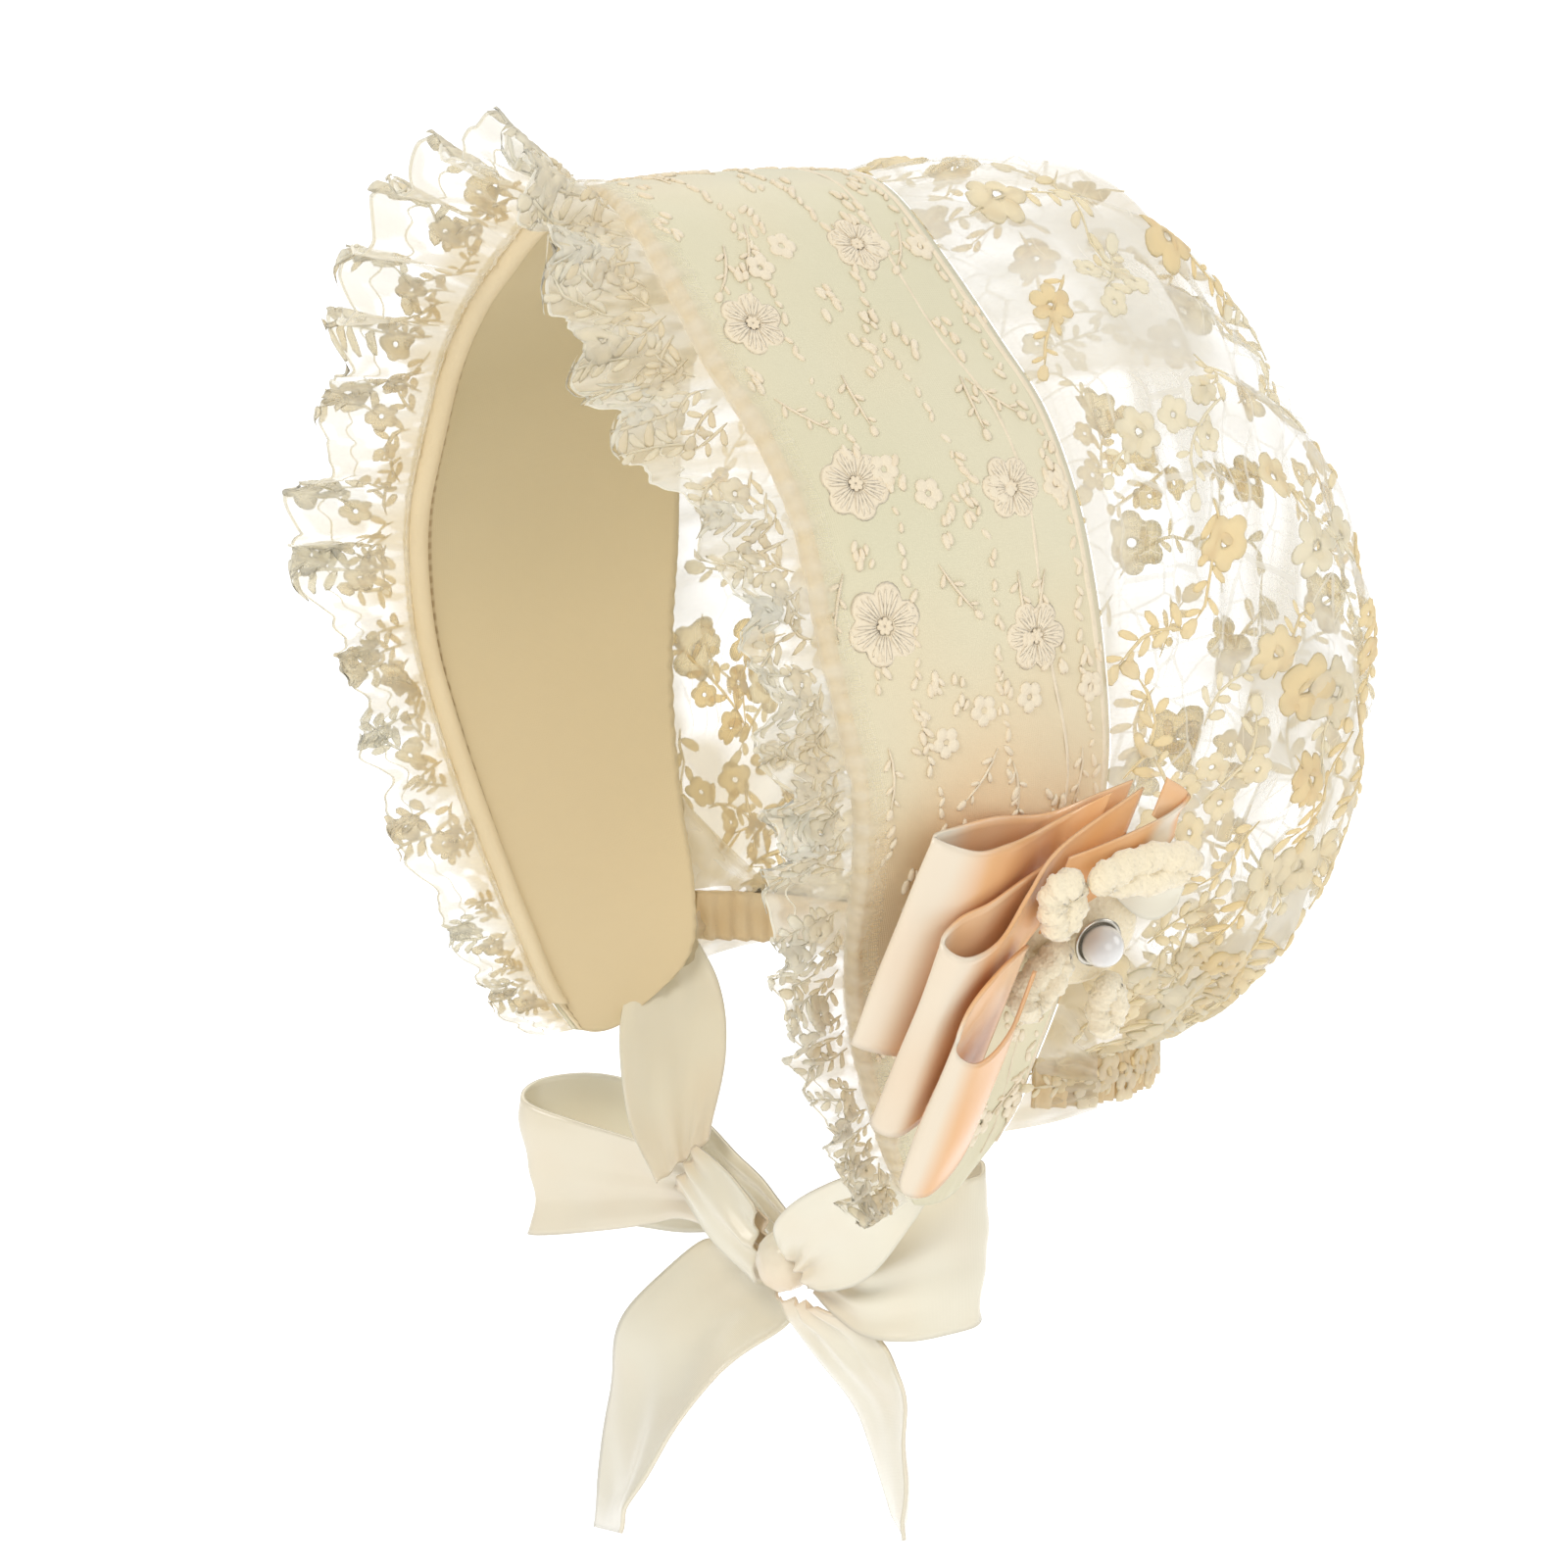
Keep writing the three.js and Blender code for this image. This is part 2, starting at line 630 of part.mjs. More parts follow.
// Ribbons of the bow. Across, back and up run from the knot, as shares of the bow's reach or the tails'
// drop, and span_across, span_back and span_up are the vector across the ribbon as shares of its width.
const bow_rows = {
  bow_loop_right: [
    { across: -0.088, back: 0.005, up: 0.02, span_across: 0.0, span_back: 0.0, span_up: 0.32 },
    { across: -0.33, back: 0.02, up: 0.05, span_across: 0.0, span_back: 0.0, span_up: 0.34 },
    { across: -0.49, back: 0.02, up: 0.04, span_across: 0.0, span_back: 0.0, span_up: 0.4 },
    { across: -0.64, back: 0.01, up: 0.01, span_across: 0.0, span_back: 0.0, span_up: 0.56 },
    { across: -0.88, back: -0.06, up: -0.03, span_across: 0.0, span_back: 0.0, span_up: 0.78 },
    { across: -1.0, back: -0.12, up: -0.03, span_across: 0.0, span_back: 0.0, span_up: 0.92 },
    { across: -1.04, back: -0.04, up: -0.02, span_across: 0.0, span_back: 0.0, span_up: 1.0 },
    { across: -0.95, back: 0.09, up: -0.01, span_across: 0.0, span_back: 0.0, span_up: 1.0 },
    { across: -0.7, back: 0.17, up: 0.0, span_across: 0.0, span_back: 0.0, span_up: 0.86 },
    { across: -0.38, back: 0.15, up: 0.02, span_across: 0.0, span_back: 0.0, span_up: 0.5 },
    { across: -0.07, back: 0.065, up: 0.02, span_across: 0.0, span_back: 0.0, span_up: 0.32 },
  ],
  bow_loop_left: [
    { across: 0.085, back: 0.035, up: 0.0, span_across: 0.0, span_back: 0.0, span_up: 0.34 },
    { across: 0.27, back: 0.05, up: 0.0, span_across: 0.0, span_back: 0.06, span_up: 0.6 },
    { across: 0.4, back: 0.12, up: 0.06, span_across: 0.0, span_back: 0.06, span_up: 0.88 },
    { across: 0.48, back: 0.21, up: 0.11, span_across: 0.0, span_back: 0.0, span_up: 1.0 },
    { across: 0.5, back: 0.27, up: 0.13, span_across: 0.0, span_back: 0.0, span_up: 1.0 },
    { across: 0.43, back: 0.3, up: 0.14, span_across: 0.0, span_back: 0.0, span_up: 1.0 },
    { across: 0.29, back: 0.25, up: 0.1, span_across: 0.0, span_back: 0.0, span_up: 0.8 },
    { across: 0.06, back: 0.08, up: 0.02, span_across: 0.0, span_back: 0.0, span_up: 0.4 },
  ],
};

const tail_rows = {
  tail_right: [
    { across: -0.21, back: 0.1, up: -0.16, span_across: 0.4, span_back: 0.0, span_up: -0.26 },
    { across: -0.36, back: 0.1, up: -0.22, span_across: 0.94, span_back: -0.08, span_up: -0.24 },
    { across: -0.42, back: -0.13, up: -0.39, span_across: 1.0, span_back: -0.04, span_up: -0.1 },
    { across: -0.5, back: -0.22, up: -0.69, span_across: 0.95, span_back: -0.35, span_up: -0.04 },
    { across: -0.54, back: -0.3, up: -1.02, span_across: 0.86, span_back: -0.4, span_up: 0.34 },
  ],
  tail_left: [
    { across: 0.06, back: 0.01, up: -0.125, span_across: 0.4, span_back: 0.0, span_up: 0.06 },
    { across: 0.12, back: 0.09, up: -0.23, span_across: 0.96, span_back: -0.04, span_up: 0.18 },
    { across: 0.28, back: 0.14, up: -0.38, span_across: 0.9, span_back: -0.26, span_up: 0.36 },
    { across: 0.34, back: 0.16, up: -0.54, span_across: 0.85, span_back: -0.4, span_up: 0.34 },
    { across: 0.38, back: 0.16, up: -0.69, span_across: 0.82, span_back: -0.45, span_up: 0.34 },
    { across: 0.42, back: 0.16, up: -0.83, span_across: 0.77, span_back: -0.54, span_up: 0.34 },
  ],
};

function span_vector(row) {
  return vector(row.span_across, row.span_back, row.span_up).multiplyScalar(tie_ribbon_width / 2);
}

function bow_ribbon(name, rows, reach) {
  const middles = rows.map((row) =>
    vector(row.across, row.back, row.up).multiplyScalar(reach).add(knot_place),
  );
  add(name, ribbon(3 * (rows.length - 1), middles, rows.map(span_vector)), satin);
}

for (const [name, rows] of Object.entries(bow_rows)) {
  bow_ribbon(name, rows, bow_reach);
}
for (const [name, rows] of Object.entries(tail_rows)) {
  bow_ribbon(name, rows, tail_drop);
}

// The wrap comes from the end of the right tie over the right loop to the knot.
const wrap_rows = [
  { across: -0.385, back: -0.045, up: 0.15, span_across: 0.03, span_back: 0.14, span_up: 0.26 },
  { across: -0.23, back: -0.055, up: 0.09, span_across: 0.06, span_back: 0.1, span_up: 0.42 },
  { across: -0.085, back: -0.032, up: 0.015, span_across: 0.06, span_back: -0.04, span_up: 0.5 },
];
bow_ribbon("bow_wrap", wrap_rows, bow_reach);

// Ties from the cheeks to the bow. Along is a share of the way, sag a share of the ribbon's width.
function tie(name, start, end, rows) {
  const middles = rows.map((row) =>
    start
      .clone()
      .lerp(end, row.along)
      .add(vector(0, row.back * tie_ribbon_width, -row.sag * tie_ribbon_width)),
  );
  add(name, ribbon(4 * (rows.length - 1), middles, rows.map(span_vector)), satin);
}

const left_start = band_point(0.955, 0.42, -band_stack - 2 * ribbon_wall);
const left_end = knot_place.clone().add(vector(knot_width / 2 + 2 * gap + ribbon_wall / 2, 0, gap));

tie("tie_left", left_start, left_end, [
  { along: 0.0, back: 0.0, sag: 0.0, span_across: -0.02, span_back: 0.5, span_up: 0.04 },
  { along: 0.33, back: -0.08, sag: 0.0, span_across: 0.3, span_back: 0.36, span_up: -0.28 },
  { along: 0.72, back: -0.12, sag: 0.02, span_across: 0.41, span_back: 0.36, span_up: -0.37 },
  { along: 1.0, back: -0.06, sag: 0.0, span_across: 0.14, span_back: 0.08, span_up: -0.2 },
]);

const right_start = rear_edge.getPoint(0.5 / (2 * (band_rows.length - 1)));
right_start.add(vector(ribbon_wall / 2, gap, -gap - ribbon_wall / 2));
const right_end = vector(wrap_rows[0].across, wrap_rows[0].back, wrap_rows[0].up)
  .multiplyScalar(bow_reach)
  .add(knot_place)
  .add(vector(-gap - ribbon_wall, gap, gap));

tie("tie_right", right_start, right_end, [
  { along: 0.0, back: 0.0, sag: 0.0, span_across: 0.0, span_back: 0.5, span_up: 0.32 },
  { along: 0.22, back: 0.04, sag: 0.14, span_across: -0.05, span_back: 0.8, span_up: 0.24 },
  { along: 0.6, back: 0.04, sag: 0.12, span_across: 0.0, span_back: 0.56, span_up: 0.26 },
  { along: 1.0, back: 0.0, sag: 0.0, span_across: 0.0, span_back: 0.12, span_up: 0.14 },
]);

// Lace flowers worked on the silk, the same on both sides of the head. Around and back place each
// flower on the band, size is a share of the largest one.
const lace_flowers = [
  { around: 0.12, back: 0.7, size: 0.8 },
  { around: 0.19, back: 0.18, size: 0.85 },
  { around: 0.345, back: 0.76, size: 0.8 },
  { around: 0.33, back: 0.22, size: 0.9 },
  { around: 0.435, back: 0.2, size: 1.0 },
  { around: 0.46, back: 0.74, size: 0.85 },
];
const flower_petals = 6;
const flower_points = flower_petals * 3;

function lace_flower(around, back, radius) {
  const step = 1e-2;
  const origin = band_middle(around, back);
  const across = band_middle(around + step, back).sub(origin).length() / step;
  const along = band_middle(around, back + step).sub(origin).length() / step;
  const points = [];
  for (const out of [gap + lace_relief, gap]) {
    for (let i = 0; i < flower_points; i++) {
      const angle = (2 * Math.PI * i) / flower_points;
      const reach = radius * (0.86 + 0.14 * Math.cos(flower_petals * angle));
      const sideways = around + (reach * Math.cos(angle)) / across;
      points.push(band_point(sideways, back + (reach * Math.sin(angle)) / along, out));
    }
    points.push(band_point(around, back, out));
  }
  const triangles = [];
  const top = flower_points;
  const below = flower_points + 1;
  for (let i = 0; i < flower_points; i++) {
    const next = (i + 1) % flower_points;
    triangles.push([top, i, next], [below + top, below + next, below + i]);
    triangles.push([i, below + i, below + next], [i, below + next, next]);
  }
  return closed_body(points, triangles);
}

for (const side of [1, -1]) {
  const label = side > 0 ? "left" : "right";
  lace_flowers.forEach((flower, index) => {
    const radius = (flower.size * lace_flower_diameter) / 2;
    const body = lace_flower(side * flower.around, flower.back, radius);
    add(`lace_flower_${label}_${index + 1}`, body, white_lace);
  });
}

export default group;
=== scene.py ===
"""Looks of the baby bonnet: silk band, lace ruffle, tulle back, ribbon ornament and bow."""

import math

import bpy
import numpy as np
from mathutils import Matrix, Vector


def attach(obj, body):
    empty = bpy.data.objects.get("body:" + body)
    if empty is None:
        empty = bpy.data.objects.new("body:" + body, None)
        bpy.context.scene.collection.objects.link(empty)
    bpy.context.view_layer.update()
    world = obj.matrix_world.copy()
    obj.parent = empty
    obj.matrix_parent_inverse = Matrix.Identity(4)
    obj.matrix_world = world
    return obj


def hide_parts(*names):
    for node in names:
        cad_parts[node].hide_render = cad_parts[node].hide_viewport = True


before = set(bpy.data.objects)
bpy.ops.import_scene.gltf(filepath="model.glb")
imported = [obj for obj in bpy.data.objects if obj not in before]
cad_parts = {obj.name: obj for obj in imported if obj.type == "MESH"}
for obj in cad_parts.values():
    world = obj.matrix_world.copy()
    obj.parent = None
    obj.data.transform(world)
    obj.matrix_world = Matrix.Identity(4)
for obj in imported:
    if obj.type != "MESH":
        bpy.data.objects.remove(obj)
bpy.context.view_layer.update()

MM = 0.001
WAVE = 2 * math.pi

# Sizes in millimetres
GAP = 0.3
TEMPLE_WIDTH = 122.0
BAND_HEIGHT = 160.0
BAND_DEPTH = 50.0
BAND_CAMBER = 1.2
BAND_STACK = 2.3
RUFFLE_WIDTH = 20.0
RUFFLE_WAVE = 5.0
RUFFLE_FOLDS = 27
CROWN_REACH = 90.0
CROWN_DROP_REACH = 49.0
NAPE_WIDTH = 91.0
NAPE_DEPTH = 45.0
NAPE_DROP = 9.0
NAPE_BAND_HEIGHT = 8.0
CROWN_GATHERS = 18
CROWN_GATHER_HEIGHT = 2.2
PLEAT_REACH = 26.0
PLEAT_LIFT = 12.0
PLEAT_RIBBON_WIDTH = 36.0
ORNAMENT_CLEARANCE = 2.9
PETAL_LENGTH = 13.0
PETAL_WIDTH = 8.5
PEARL_RADIUS = 3.3
CUP_RADIUS = 4.3
CUP_WALL = 0.6
CUP_SEAT = 4.9
PAD_RADIUS = 9.5
PAD_HALF = 1.25
TIE_RIBBON_WIDTH = 25.0
TIE_DROP = 22.0
BOW_REACH = 60.0
KNOT_SIZES = (4.5, 4.5, 5.0)
TAIL_DROP = 50.0

# Band edges from the crown down to the cheek: across, down and back of the face edge as shares of half
# the temple width, the height and the depth, then the same for the rear edge
BAND_ROWS = [
    (0.0, 0.0, 0.0, 0.0, 0.044, 1.0),
    (0.148, 0.013, 0.0, 0.148, 0.056, 1.0),
    (0.311, 0.056, 0.0, 0.328, 0.106, 1.03),
    (0.475, 0.116, 0.01, 0.508, 0.159, 1.05),
    (0.656, 0.181, 0.05, 0.689, 0.209, 1.056),
    (0.795, 0.256, 0.07, 0.83, 0.284, 1.056),
    (0.885, 0.345, 0.07, 0.91, 0.366, 1.056),
    (0.96, 0.425, 0.08, 0.948, 0.446, 1.06),
    (1.0, 0.503, 0.11, 0.961, 0.525, 1.064),
    (0.98, 0.585, 0.13, 0.954, 0.606, 1.04),
    (0.905, 0.675, 0.165, 0.918, 0.694, 1.01),
    (0.839, 0.77, 0.236, 0.852, 0.778, 0.985),
    (0.807, 0.86, 0.338, 0.762, 0.859, 0.964),
    (0.79, 0.93, 0.43, 0.718, 0.92, 0.91),
    (0.762, 0.975, 0.51, 0.73, 0.972, 0.72),
]

# Ruffle: around, lean in degrees, share of the width
RUFFLE_LEANS = np.array([
    (-1.0, 10, 0.3),
    (-0.87, 14, 0.52),
    (-0.75, 12, 0.66),
    (-0.65, -12, 0.74),
    (-0.55, 22, 0.96),
    (-0.43, 14, 0.8),
    (-0.3, 18, 1.06),
    (-0.15, 34, 1.05),
    (0.0, 32, 0.92),
    (0.1, 4, 1.0),
    (0.2, -24, 1.0),
    (0.3, -6, 1.0),
    (0.42, 16, 0.78),
    (0.54, 16, 0.88),
    (0.65, -4, 0.82),
    (0.75, 12, 0.66),
    (0.85, 12, 0.56),
    (0.95, 4, 0.6),
    (1.0, 4, 0.5),
])

# Folds of the pleated ribbon: forward, out, down, span
PLEATS = {
    "pleat_1": [
        (-0.36, 0.42, -0.26, 0.3),
        (-0.14, 0.26, -0.12, 0.55),
        (0.04, 0.06, 0, 0.85),
        (0.45, 0.28, 0.02, 0.96),
        (0.75, 0.5, 0.06, 0.97),
        (1.01, 0.85, 0.08, 0.98),
        (0.72, 1.0, 0.1, 0.96),
        (0.44, 0.78, 0.07, 0.95),
        (0.15, 0.42, 0.04, 0.85),
        (-0.05, 0.3, -0.05, 0.6),
        (-0.2, 0.56, -0.21, 0.34),
    ],
    "pleat_2": [
        (-0.03, 0.5, 0.12, 0.75),
        (0.3, 0.84, 0.24, 0.82),
        (0.5, 1.04, 0.31, 0.83),
        (0.72, 1.18, 0.38, 0.85),
        (0.86, 1.4, 0.47, 0.86),
        (0.72, 1.58, 0.5, 0.84),
        (0.44, 1.3, 0.44, 0.74),
        (0.25, 1.0, 0.24, 0.62),
        (0.04, 0.72, 0.04, 0.45),
        (-0.35, 0.7, -0.27, 0.22),
    ],
    "pleat_3": [
        (0.12, 0.98, 0.48, 0.62),
        (0.42, 1.44, 0.55, 0.64),
        (0.62, 1.72, 0.72, 0.66),
        (0.66, 1.9, 0.88, 0.66),
        (0.46, 1.92, 0.92, 0.62),
        (0.18, 1.5, 0.8, 0.6),
        (0.08, 1.2, 0.56, 0.56),
    ],
    "pleat_4": [
        (0.02, 0.83, 0.08, 0.36),
        (-0.28, 1.0, -0.1, 0.26),
        (-0.5, 1.0, -0.22, 0.2),
        (-0.6, 0.9, -0.3, 0.18),
        (-0.43, 0.86, -0.35, 0.18),
    ],
}

# Petals of the cloth flower: forward, out, down, turn, tip, length, width
PETALS = [
    (-0.76, 1.18, 0.07, 161, 0, 1.4, 0.9),
    (0.08, 1.04, 0.72, 70, 6, 0.9, 0.9),
    (-0.6, 0.33, 1.98, -75, 0, 1.0, 0.9),
    (-1.66, 0.32, 2.16, -110, 0, 0.8, 0.75),
]

# Bow ribbons: across, back, up of the middle, then half the vector across the ribbon
BOW_ROWS = {
    "bow_loop_right": [
        (-0.088, 0.005, 0.02, 0.0, 0.0, 0.32),
        (-0.33, 0.02, 0.05, 0.0, 0.0, 0.34),
        (-0.49, 0.02, 0.04, 0.0, 0.0, 0.4),
        (-0.64, 0.01, 0.01, 0.0, 0.0, 0.56),
        (-0.88, -0.06, -0.03, 0.0, 0.0, 0.78),
        (-1.0, -0.12, -0.03, 0.0, 0.0, 0.92),
        (-1.04, -0.04, -0.02, 0.0, 0.0, 1.0),
        (-0.95, 0.09, -0.01, 0.0, 0.0, 1.0),
        (-0.7, 0.17, 0.0, 0.0, 0.0, 0.86),
        (-0.38, 0.15, 0.02, 0.0, 0.0, 0.5),
        (-0.07, 0.065, 0.02, 0.0, 0.0, 0.32),
    ],
    "bow_loop_left": [
        (0.085, 0.035, 0.0, 0.0, 0.0, 0.34),
        (0.27, 0.05, 0.0, 0.0, 0.06, 0.6),
        (0.4, 0.12, 0.06, 0.0, 0.06, 0.88),
        (0.48, 0.21, 0.11, 0.0, 0.0, 1.0),
        (0.5, 0.27, 0.13, 0.0, 0.0, 1.0),
        (0.43, 0.3, 0.14, 0.0, 0.0, 1.0),
        (0.29, 0.25, 0.1, 0.0, 0.0, 0.8),
        (0.06, 0.08, 0.02, 0.0, 0.0, 0.4),
    ],
    "bow_wrap": [
        (-0.385, -0.045, 0.15, 0.03, 0.14, 0.26),
        (-0.23, -0.055, 0.09, 0.06, 0.1, 0.42),
        (-0.085, -0.032, 0.015, 0.06, -0.04, 0.5),
    ],
}
TAIL_ROWS = {
    "tail_right": [
        (-0.21, 0.1, -0.16, 0.4, 0.0, -0.26),
        (-0.36, 0.1, -0.22, 0.94, -0.08, -0.24),
        (-0.42, -0.13, -0.39, 1.0, -0.04, -0.1),
        (-0.5, -0.22, -0.69, 0.95, -0.35, -0.04),
        (-0.54, -0.3, -1.02, 0.86, -0.4, 0.34),
    ],
    "tail_left": [
        (0.06, 0.01, -0.125, 0.4, 0.0, 0.06),
        (0.12, 0.09, -0.23, 0.96, -0.04, 0.18),
        (0.28, 0.14, -0.38, 0.9, -0.26, 0.36),
        (0.34, 0.16, -0.54, 0.85, -0.4, 0.34),
        (0.38, 0.16, -0.69, 0.82, -0.45, 0.34),
        (0.42, 0.16, -0.83, 0.77, -0.54, 0.34),
    ],
}

# Ties: share of the way, back and sag as shares of the ribbon's width, then half the vector across
TIE_ROWS = {
    "tie_left": [
        (0.0, 0.0, 0.0, -0.02, 0.5, 0.04),
        (0.33, -0.08, 0.0, 0.3, 0.36, -0.28),
        (0.72, -0.12, 0.02, 0.41, 0.36, -0.37),
        (1.0, -0.06, 0.0, 0.14, 0.08, -0.2),
    ],
    "tie_right": [
        (0.0, 0.0, 0.0, 0.0, 0.5, 0.32),
        (0.22, 0.04, 0.1, -0.05, 0.8, 0.24),
        (0.6, 0.04, 0.08, 0.0, 0.74, 0.3),
        (1.0, 0.0, 0.0, 0.0, 0.4, 0.2),
    ],
}


# Small geometry helpers: points are rows of arrays, in millimetres
def vec(*v):
    return np.array(v, float)


def arrays(*values):
    """Arrays of one common shape."""
    return np.broadcast_arrays(*(np.asarray(value, float) for value in values))


def unit(v):
    return v / np.maximum(np.linalg.norm(v, axis=-1, keepdims=True), 1e-9)


def catmull(points, t):
    """Smooth curve through points, at shares t of the way."""
    points = np.asarray(points, float)
    t = np.clip(np.asarray(t, float), 0, 1)
    count = len(points)
    padded = np.vstack([2 * points[0] - points[1], points, 2 * points[-1] - points[-2]])
    place = t * (count - 1)
    i = np.minimum(place.astype(int), count - 2)
    w = (place - i)[..., None]
    x0, x1, x2, x3 = padded[i], padded[i + 1], padded[i + 2], padded[i + 3]
    t0 = 0.5 * (x2 - x0)
    t1 = 0.5 * (x3 - x1)
    return x1 + t0 * w + (-3 * x1 + 3 * x2 - 2 * t0 - t1) * w**2 + (2 * x1 - 2 * x2 + t0 + t1) * w**3


def smoothstep(low, high, x):
    w = np.clip((x - low) / (high - low), 0, 1)
    return w * w * (3 - 2 * w)


def ripple(x, y, seed):
    """Soft uneven waves, about -1 to 1."""
    total = 0.0
    for k in range(4):
        angle = seed * 2.4 + k * 1.9
        rate = 1.0 + 0.63 * k
        total = total + np.sin(rate * (x * math.cos(angle) + y * math.sin(angle)) + seed * 1.7 + k * 2.1)
    return total / 4


# Band
CROWN_RISE = BAND_STACK + BAND_ROWS[0][4] * BAND_HEIGHT / 2 - BAND_CAMBER


def from_crown(x, y, z):
    return vec(x, y - BAND_DEPTH / 2, z + CROWN_RISE)


def mirrored(columns):
    half = [
        from_crown(
            row[columns] * TEMPLE_WIDTH / 2,
            row[columns + 2] * BAND_DEPTH,
            -row[columns + 1] * BAND_HEIGHT,
        )
        for row in BAND_ROWS
    ]
    other = [p * vec(-1, 1, 1) for p in half[:0:-1]]
    return np.array(other + half)


FACE_EDGE = mirrored(0)
REAR_EDGE = mirrored(3)


def band_middle(around, back):
    around, back = arrays(around, back)
    share = (around + 1) / 2
    front = catmull(FACE_EDGE, share)
    point = front + (catmull(REAR_EDGE, share) - front) * back[..., None]
    out = point * vec(1, 0, 1) + vec(0, 0, BAND_HEIGHT / 2)
    return point + unit(out) * (BAND_CAMBER * 4 * back * (1 - back))[..., None]


def normal_of(surface, a, b, step=1e-3):
    along = surface(a + step, b) - surface(a - step, b)
    across = surface(a, b + step) - surface(a, b - step)
    return unit(np.cross(along, across))


def band_normal(around, back):
    return normal_of(band_middle, np.clip(around, -0.998, 0.998), back)


def band_point(around, back, out=0.0):
    around, back, out = arrays(around, back, out)
    return band_middle(around, back) + band_normal(around, back) * out[..., None]


def band_depth(around):
    share = (around + 1) / 2
    return np.linalg.norm(catmull(REAR_EDGE, share) - catmull(FACE_EDGE, share), axis=-1)


def band_backward(around):
    around = np.asarray(around, float)
    return unit(band_middle(around, 0.9 + 0 * around) - band_middle(around, 0.1 + 0 * around))


# Ruffle
def ruffle_phase(share):
    uneven = 0.5 * np.sin(WAVE * 5 * share + 1.0) + 0.5 * np.sin(WAVE * 11 * share + 2.0)
    return WAVE * RUFFLE_FOLDS * share + 1.3 * uneven


def ruffle_point(share, reach, out=0.0):
    share, reach, out = arrays(share, reach, out)
    around = 2 * share - 1
    lean = np.radians(np.interp(around, RUFFLE_LEANS[:, 0], RUFFLE_LEANS[:, 1]))
    width = np.interp(around, RUFFLE_LEANS[:, 0], RUFFLE_LEANS[:, 2]) * reach
    forward = -band_backward(around)
    up = band_normal(around, 0 * around)
    start = band_point(around, 0 * around, -BAND_STACK / 2 + 0 * around) + forward * 0.7
    phase = ruffle_phase(share)
    scallop = 0.9 + 0.12 * np.abs(np.sin(phase)) + 0.04 * np.sin(WAVE * 8 * share + 1.0)
    length = RUFFLE_WIDTH * width * scallop
    loose = 0.62 + 0.12 * smoothstep(0.1, -0.2, around)
    swing = RUFFLE_WAVE * loose * width * np.cos(phase + 0.6 * reach)
    crumple = 1.5 * np.sqrt(np.clip(reach, 0, 1)) * ripple(share * 330, reach * 3.4 + 5, 1.5)
    c, s = np.cos(lean)[..., None], np.sin(lean)[..., None]
    run = forward * c + up * s
    rise = up * c - forward * s
    sag = 1.2 * ripple(share * 210, reach * 2.0, 7.5) * np.clip(reach, 0, 1)
    return start + run * (length + sag)[..., None] + rise * (swing + crumple + out)[..., None]


def heading_point(share, reach, out=0.0):
    """Gathered heading of the ruffle, from its root over the fold onto the band."""
    share, reach, out = arrays(share, reach, out)
    around = 2 * share - 1
    turn = reach * math.pi * 0.75
    back = 0.3 - 1.9 * np.cos(turn) + 2.2 * smoothstep(0.6, 1.0, reach)
    high = -BAND_STACK / 2 + 2.3 * np.sin(np.minimum(turn, math.pi / 2))
    high = high + (0.55 - high) * smoothstep(0.55, 1.0, reach)
    fine = np.sin(WAVE * 140 * share + 3 * np.sin(WAVE * 31 * share))
    gather = 0.3 * ripple(share * 420, reach * 3, 5.5) + 0.12 * fine
    return band_point(around, (back + 0.3 * gather) / band_depth(around), high + gather + out)


# Tulle back
NAPE_FRONT = BAND_ROWS[12][5] * BAND_DEPTH + GAP
NAPE_TOP = -BAND_ROWS[12][4] * BAND_HEIGHT
CROWN_END = 12 / (len(BAND_ROWS) - 1)
NAPE_END = math.radians(82)


def nape_point(angle, out, down):
    across = (NAPE_WIDTH / 2 + out) * np.sin(angle)
    back = NAPE_FRONT + (NAPE_DEPTH + out) * np.cos(angle) - BAND_DEPTH / 2
    high = NAPE_TOP - NAPE_DROP * np.cos(angle) - down + CROWN_RISE
    return np.stack([across, back, high], -1)


def crown_smooth(side, back):
    side, back = arrays(side, back)
    around = side * CROWN_END
    fullness = (1 - np.abs(side) ** 2.3)[..., None]
    start = band_middle(around, 1 + 0 * around) + band_backward(around) * GAP
    angle = side * NAPE_END
    end = nape_point(angle, 0 * angle, -GAP + 0 * angle)
    radial = unit(start * vec(1, 0, 1) + vec(0, 0, BAND_HEIGHT / 2))
    leave = unit(vec(0, 1, 0) + radial * 0.24 * (1 - fullness * 0.85))
    lift = 0.42 - 0.3 * (1 - fullness[..., 0])
    arrive = unit(np.stack([np.sin(angle) * 0.6, 0.88 + 0 * angle, lift], -1))
    second = start + leave * (4 + (CROWN_REACH - 4) * fullness)
    third = end + arrive * (3 + (CROWN_DROP_REACH - 3) * fullness)
    t = np.clip(back, 0, 1)[..., None]
    s = 1 - t
    return s**3 * start + 3 * s * s * t * second + 3 * s * t * t * third + t**3 * end


